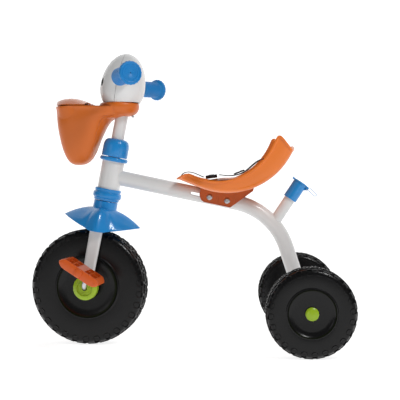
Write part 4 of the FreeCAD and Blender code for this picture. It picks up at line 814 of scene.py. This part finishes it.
seat_rows, seat_columns = 24, 14
pan = bmesh.new()
bmesh.ops.create_grid(pan, x_segments=seat_rows, y_segments=seat_columns, size=1.0)
for vert in pan.verts:
    station = (vert.co.x + 1) / 2
    column_number = round(abs(vert.co.y) * seat_columns / 2)
    across, up = seat_section(station)[column_number]
    vert.co = seat_spot(station, math.copysign(across, vert.co.y), up)
rim_verts = extend(pan, [edge for edge in pan.edges if edge.is_boundary])[0]
for vert in rim_verts:
    vert.co += Vector((0, math.copysign(rim_spread, vert.co.y) if abs(vert.co.y) > 0.06 else 0, 0))
    out = (vert.co - Vector((0, vert.co.y, 0))).normalized()
    vert.co += out * (rim_lip if abs(vert.co.y) < 0.078 else 0.0)
face_up(pan)
seat = piece("seat_bucket", pan, saddle @ Matrix.Translation(arc_middle), seat_orange, "seat",
             "seat_orange", "seat_shell", sharp=60)
subdivide(seat, 2)
thicken(seat, seat_wall, 1)
round_edges(seat, 0.0010, 2, 50)

# ---- Seat bracket ----
# An orange saddle under the seat, bolted through the slotted tube. Its orange is the seat's own,
# darkened as painted shade for the seat's shadow over it. A raised rim and two upright ribs
# stiffen each cheek and leave flat panels round the bolts.

# The seat's orange made darker: painted shade, as the bracket lies in the seat's shadow.
bracket_painted_shade_orange = moulded("bracket_painted_shade_orange", (0.50, 0.098, 0.012), 0.36, Coat_Weight=0.2,
                         Coat_Roughness=0.15)
dress(bracket_painted_shade_orange, "seat_bracket")
cheek_face, rib_height, rib_width, rib_sunk = 0.0250, 0.0014, 0.0016, 0.0001
cheek_outline = [(-0.0437, 0.0230), (-0.0430, 0.0), (-0.0370, -0.0100), (-0.0300, -0.0134),
                 (0.0300, -0.0134), (0.0700, 0.0310), (0.0700, 0.0400), (0.0300, 0.0368),
                 (0.0, 0.0358), (-0.0200, 0.0298)]
for side, hand in hands:
    ribs = bmesh.new()
    ribs.faces.new([ribs.verts.new((x, 0, z)) for x, z in cheek_outline])
    for x in (-0.0020, 0.0370):
        cut(ribs, (x, 0, 0), (1, 0, 0))
    panels = ribs.faces[:]
    bmesh.ops.inset_individual(ribs, faces=panels, thickness=rib_width, use_even_offset=True)
    bmesh.ops.delete(ribs, geom=panels, context="FACES")
    outer = points_of(bmesh.ops.extrude_face_region(ribs, geom=ribs.faces[:])["geom"])
    bmesh.ops.translate(ribs, vec=(0, rib_height, 0), verts=outer)
    bmesh.ops.scale(ribs, vec=(1, hand, 1), verts=ribs.verts)
    bmesh.ops.recalc_face_normals(ribs, faces=ribs.faces)
    soften(ribs, 0.0004, 2, 50)
    bmesh.ops.translate(ribs, vec=(0, cheek_face * hand - rib_sunk * hand, 0), verts=ribs.verts)
    piece("bracket_ribs_" + side, ribs, saddle, bracket_painted_shade_orange, "seat", "deep_orange")

# ---- Harness ----
# Black woven webbing: a crotch strap that arches to the buckle on the ridge, and a lap strap
# from each flank of the seat through a sliding adjuster. Straps are 22 mm wide.

webbing = Finish("black_webbing", (0.018, 0.018, 0.020), Sheen_Weight=0.4)
weave_spot = webbing.spot()
warp = webbing.node("ShaderNodeTexWave", {"bands_direction": "Y"},
                    {"Vector": weave_spot, "Scale": 260, "Distortion": 0.4})
weft = webbing.node("ShaderNodeTexWave", {"bands_direction": "X"},
                    {"Vector": weave_spot, "Scale": 180, "Distortion": 0.4})
weave = warp * 0.6 + weft * 0.4
webbing.feed(Base_Color=webbing.mix(weave, (0.010, 0.010, 0.011), (0.034, 0.034, 0.037)),
             Roughness=weave * 0.2 + 0.62)
webbing.bump(weave, 0.0004)
strap_width, strap_thick = 0.022, 0.0018


def strap(name, route, *nodes):
    """A flat strap along points (along, across, up) of the saddle's frame."""
    band = bmesh.new()
    ends = [band.verts.new((route[0][0], route[0][1] + strap_width * share, route[0][2]))
            for share in (-0.5, -0.42, 0.0, 0.42, 0.5)]
    edges = [band.edges.new(pair) for pair in zip(ends, ends[1:])]
    for before, spot in zip(route, route[1:]):
        fresh, edges = extend(band, edges)
        bmesh.ops.translate(band, vec=Vector(spot) - Vector(before), verts=fresh)
    face_up(band)
    made = piece(name, band, saddle, webbing, "seat", "webbing", *nodes, sharp=60)
    subdivide(made, 2)
    thicken(made, strap_thick, 1)


strap("crotch_webbing", [(-0.092, 0, 0.031), (-0.0905, 0, 0.036), (-0.087, 0, 0.0405),
                         (-0.079, 0, 0.0445), (-0.0685, 0, 0.045), (-0.060, 0, 0.0438),
                         (-0.0525, 0, 0.042), (-0.042, 0, 0.040)], "crotch_strap")
for side, hand in hands:
    route = [(0.108, 0.058, 0.084), (0.104, 0.0575, 0.0965), (0.098, 0.057, 0.1045),
             (0.086, 0.056, 0.1090), (0.077, 0.0547, 0.1065), (0.070, 0.053, 0.101),
             (0.060, 0.049, 0.089), (0.052, 0.045, 0.077), (0.042, 0.041, 0.067),
             (0.030, 0.036, 0.060), (0.013, 0.030, 0.054), (-0.005, 0.025, 0.053),
             (-0.009, 0.024, 0.052)]
    strap("lap_webbing_" + side, [(x, y * hand, z) for x, y, z in route], "lap_strap_" + side)

# ---- Buckle and adjusters ----
# Glossy black mouldings: a rounded buckle body with a grey press button, and a ladder-shaped
# slider on each lap strap.

gloss_black = moulded("buckle_black", (0.012, 0.012, 0.013), 0.22, 0.00004, Coat_Weight=0.3)
button_grey = moulded("button_grey", (0.42, 0.43, 0.44), 0.35)
dress(button_grey, "buckle_button")
press = joints["buckle_press"]["axis"]
low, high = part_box("buckle_button")
buckle_place = axes_at((low + high) / 2, [-part for part in press], (0, 1, 0))
buckle_size, body_middle, button_middle = (0.026, 0.034, 0.0076), 0.0038, 0.0067
body = bmesh.new()
bmesh.ops.create_cube(body, size=1.0)
bmesh.ops.scale(body, vec=buckle_size, verts=body.verts)
corners = [edge for edge in body.edges
           if abs((edge.verts[0].co - edge.verts[1].co).normalized().z) > 0.9]
bmesh.ops.bevel(body, geom=corners, offset=0.006, segments=5, profile=0.5, affect="EDGES",
                material=-1)
soften(body, 0.0012, 3, 50)
button_well = [face for face in body.faces if face.normal.z > 0.99]
bmesh.ops.inset_region(body, faces=button_well, thickness=0.0022, depth=-0.0006,
                       use_even_offset=True)
for step in range(3):
    grip_bar = bmesh.new()
    bmesh.ops.create_cube(grip_bar, size=1.0)
    bmesh.ops.scale(grip_bar, vec=(0.0008, 0.016, 0.0009), verts=grip_bar.verts)
    add(body, grip_bar, Matrix.Translation((0.0088 + 0.0013 * step, 0, 0.0035)))
piece("buckle", body, buckle_place @ Matrix.Translation((0, 0, body_middle - button_middle)),
      gloss_black, "seat", "black_plastic", "buckle_body")
slot_near, slot_far, slot_half, adjuster_tilt = 0.0035, 0.0085, 0.0115, math.radians(-34)
for side, hand in hands:
    ladder = bmesh.new()
    bmesh.ops.create_grid(ladder, x_segments=1, y_segments=1, size=0.5)
    bmesh.ops.scale(ladder, vec=(0.024, 0.029, 1), verts=ladder.verts)
    for x in (-slot_far, -slot_near, slot_near, slot_far):
        cut(ladder, (x, 0, 0), (1, 0, 0))
    for y in (-slot_half, slot_half):
        cut(ladder, (0, y, 0), (0, 1, 0))
    gaps = [face for face in ladder.faces
            if slot_near < abs(face.calc_center_median().x) < slot_far
            and abs(face.calc_center_median().y) < slot_half]
    bmesh.ops.delete(ladder, geom=gaps, context="FACES")
    upper = points_of(bmesh.ops.extrude_face_region(ladder, geom=ladder.faces[:])["geom"])
    bmesh.ops.translate(ladder, vec=(0, 0, 0.003), verts=upper)
    bmesh.ops.recalc_face_normals(ladder, faces=ladder.faces)
    soften(ladder, 0.0008, 2, 50)
    where = saddle @ Matrix.Translation((0.034, 0.038 * hand, 0.067))
    piece("adjuster_" + side, ladder, where @ Matrix.Rotation(adjuster_tilt, 4, "Y"),
          gloss_black, "seat", "black_plastic", "strap_adjuster_" + side)

# ---- Push-handle socket ----
# A blue sleeve and a hinged plug lid close the white stub behind the seat. A thin strap loop
# moulded with the lid runs back to the sleeve; here it is one fixed piece that rides on no body.

dress(blue, "socket_sleeve", "socket_lid")
mount = frame["record"]["mounts"][0]
hinge = joints["socket_lid_hinge"]
socket = axes_at(hinge["pos_m"], mount["axis"], hinge["axis"])
tether_tilt = math.radians(10)
tether_place = socket @ Matrix.Translation((0.0030, 0, 0.0035)) @ Matrix.Rotation(tether_tilt, 4, "Y")
tether_reach, tether_gap, tether_width, tether_wall = 0.020, 0.0080, 0.0050, 0.0010
band = bmesh.new()
top = tether_gap / 2 - tether_wall / 2
ends = [band.verts.new((0, tether_width * share, top)) for share in (-0.5, 0.5)]
edges = [band.edges.new(ends)]
route = [(tether_reach * share, top) for share in (0.25, 0.5, 0.75, 1.0)]
route += [(tether_reach + top * math.sin(turn), top * math.cos(turn))
          for turn in (math.radians(22.5 * step) for step in range(1, 8))]
route += [(tether_reach * share, -top) for share in (1.0, 0.75, 0.5, 0.25, 0.0)]
spot_before = (0, top)
for x, z in route:
    fresh, edges = extend(band, edges)
    bmesh.ops.translate(band, vec=(x - spot_before[0], 0, z - spot_before[1]), verts=fresh)
    spot_before = (x, z)
bmesh.ops.recalc_face_normals(band, faces=band.faces)
bmesh.ops.solidify(band, geom=band.faces[:], thickness=tether_wall)
bmesh.ops.recalc_face_normals(band, faces=band.faces)
tether = piece("tether_loop", band, tether_place, blue, "", "blue_plastic", "socket_tether")
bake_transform(tether)

# ---- Floor, backdrop, lights and camera ----
# The floor and the wall behind are glowing white screens in a room that is white to the camera
# and dim to the object. A soft key lamp and a weak fill model the shapes, seen by a long lens.

white = (1.0, 1.0, 1.0)
screen_finish = Finish("white_screen", shade(white, 0.5), Roughness=1.0, Specular_IOR_Level=0.0,
                       Emission_Color=(*white, 1), Emission_Strength=0.85)
screens = (("floor", (0, 0, 0), 0), ("backdrop", (0, 4.0, 4.0), 90))
for name, spot, tilt in screens:
    sheet = bmesh.new()
    bmesh.ops.create_grid(sheet, x_segments=1, y_segments=1, size=8)
    sheet_mesh = bpy.data.meshes.new(name)
    sheet.to_mesh(sheet_mesh)
    sheet.free()
    sheet_mesh.materials.append(screen_finish.material)
    screen = bpy.data.objects.new(name, sheet_mesh)
    screen.location = spot
    screen.rotation_euler = (math.radians(tilt), 0, 0)
    bpy.context.scene.collection.objects.link(screen)

room_light, room_white = 0.17, 1.1
world = bpy.data.worlds.new("studio")
world.use_nodes = True
room = world.node_tree
room.nodes["Background"].inputs["Color"].default_value = (1, 1, 1, 1)
seen = room.nodes.new("ShaderNodeLightPath")
strength = room.nodes.new("ShaderNodeMix")
strength.inputs["A"].default_value = room_light
strength.inputs["B"].default_value = room_white
room.links.new(seen.outputs["Is Camera Ray"], strength.inputs["Factor"])
room.links.new(strength.outputs["Result"], room.nodes["Background"].inputs["Strength"])
bpy.context.scene.world = world
middle = Vector((0, 0, 0.3))
lamps = (("key", (1.2, -1.2, 2.0), 0.5, 24), ("fill", (-1.9, -2.0, 1.0), 1.0, 3))
for name, spot, size, power in lamps:
    lamp = bpy.data.lights.new(name, "AREA")
    lamp.size = size
    lamp.energy = power
    light = bpy.data.objects.new(name, lamp)
    light.location = spot
    light.rotation_euler = (middle - Vector(spot)).to_track_quat("-Z", "Y").to_euler()
    bpy.context.scene.collection.objects.link(light)

lens = bpy.data.cameras.new("camera")
lens.lens = 95
lens.sensor_width = 36
look_down, look_aside = math.radians(1.63), math.radians(0.92)
camera = bpy.data.objects.new("camera", lens)
camera.location = (0.063, -2.378, 0.3910)
camera.rotation_euler = (math.radians(90) - look_down, 0, look_aside)
bpy.context.scene.collection.objects.link(camera)
bpy.context.scene.camera = camera
bpy.context.scene.view_settings.view_transform = "Standard"
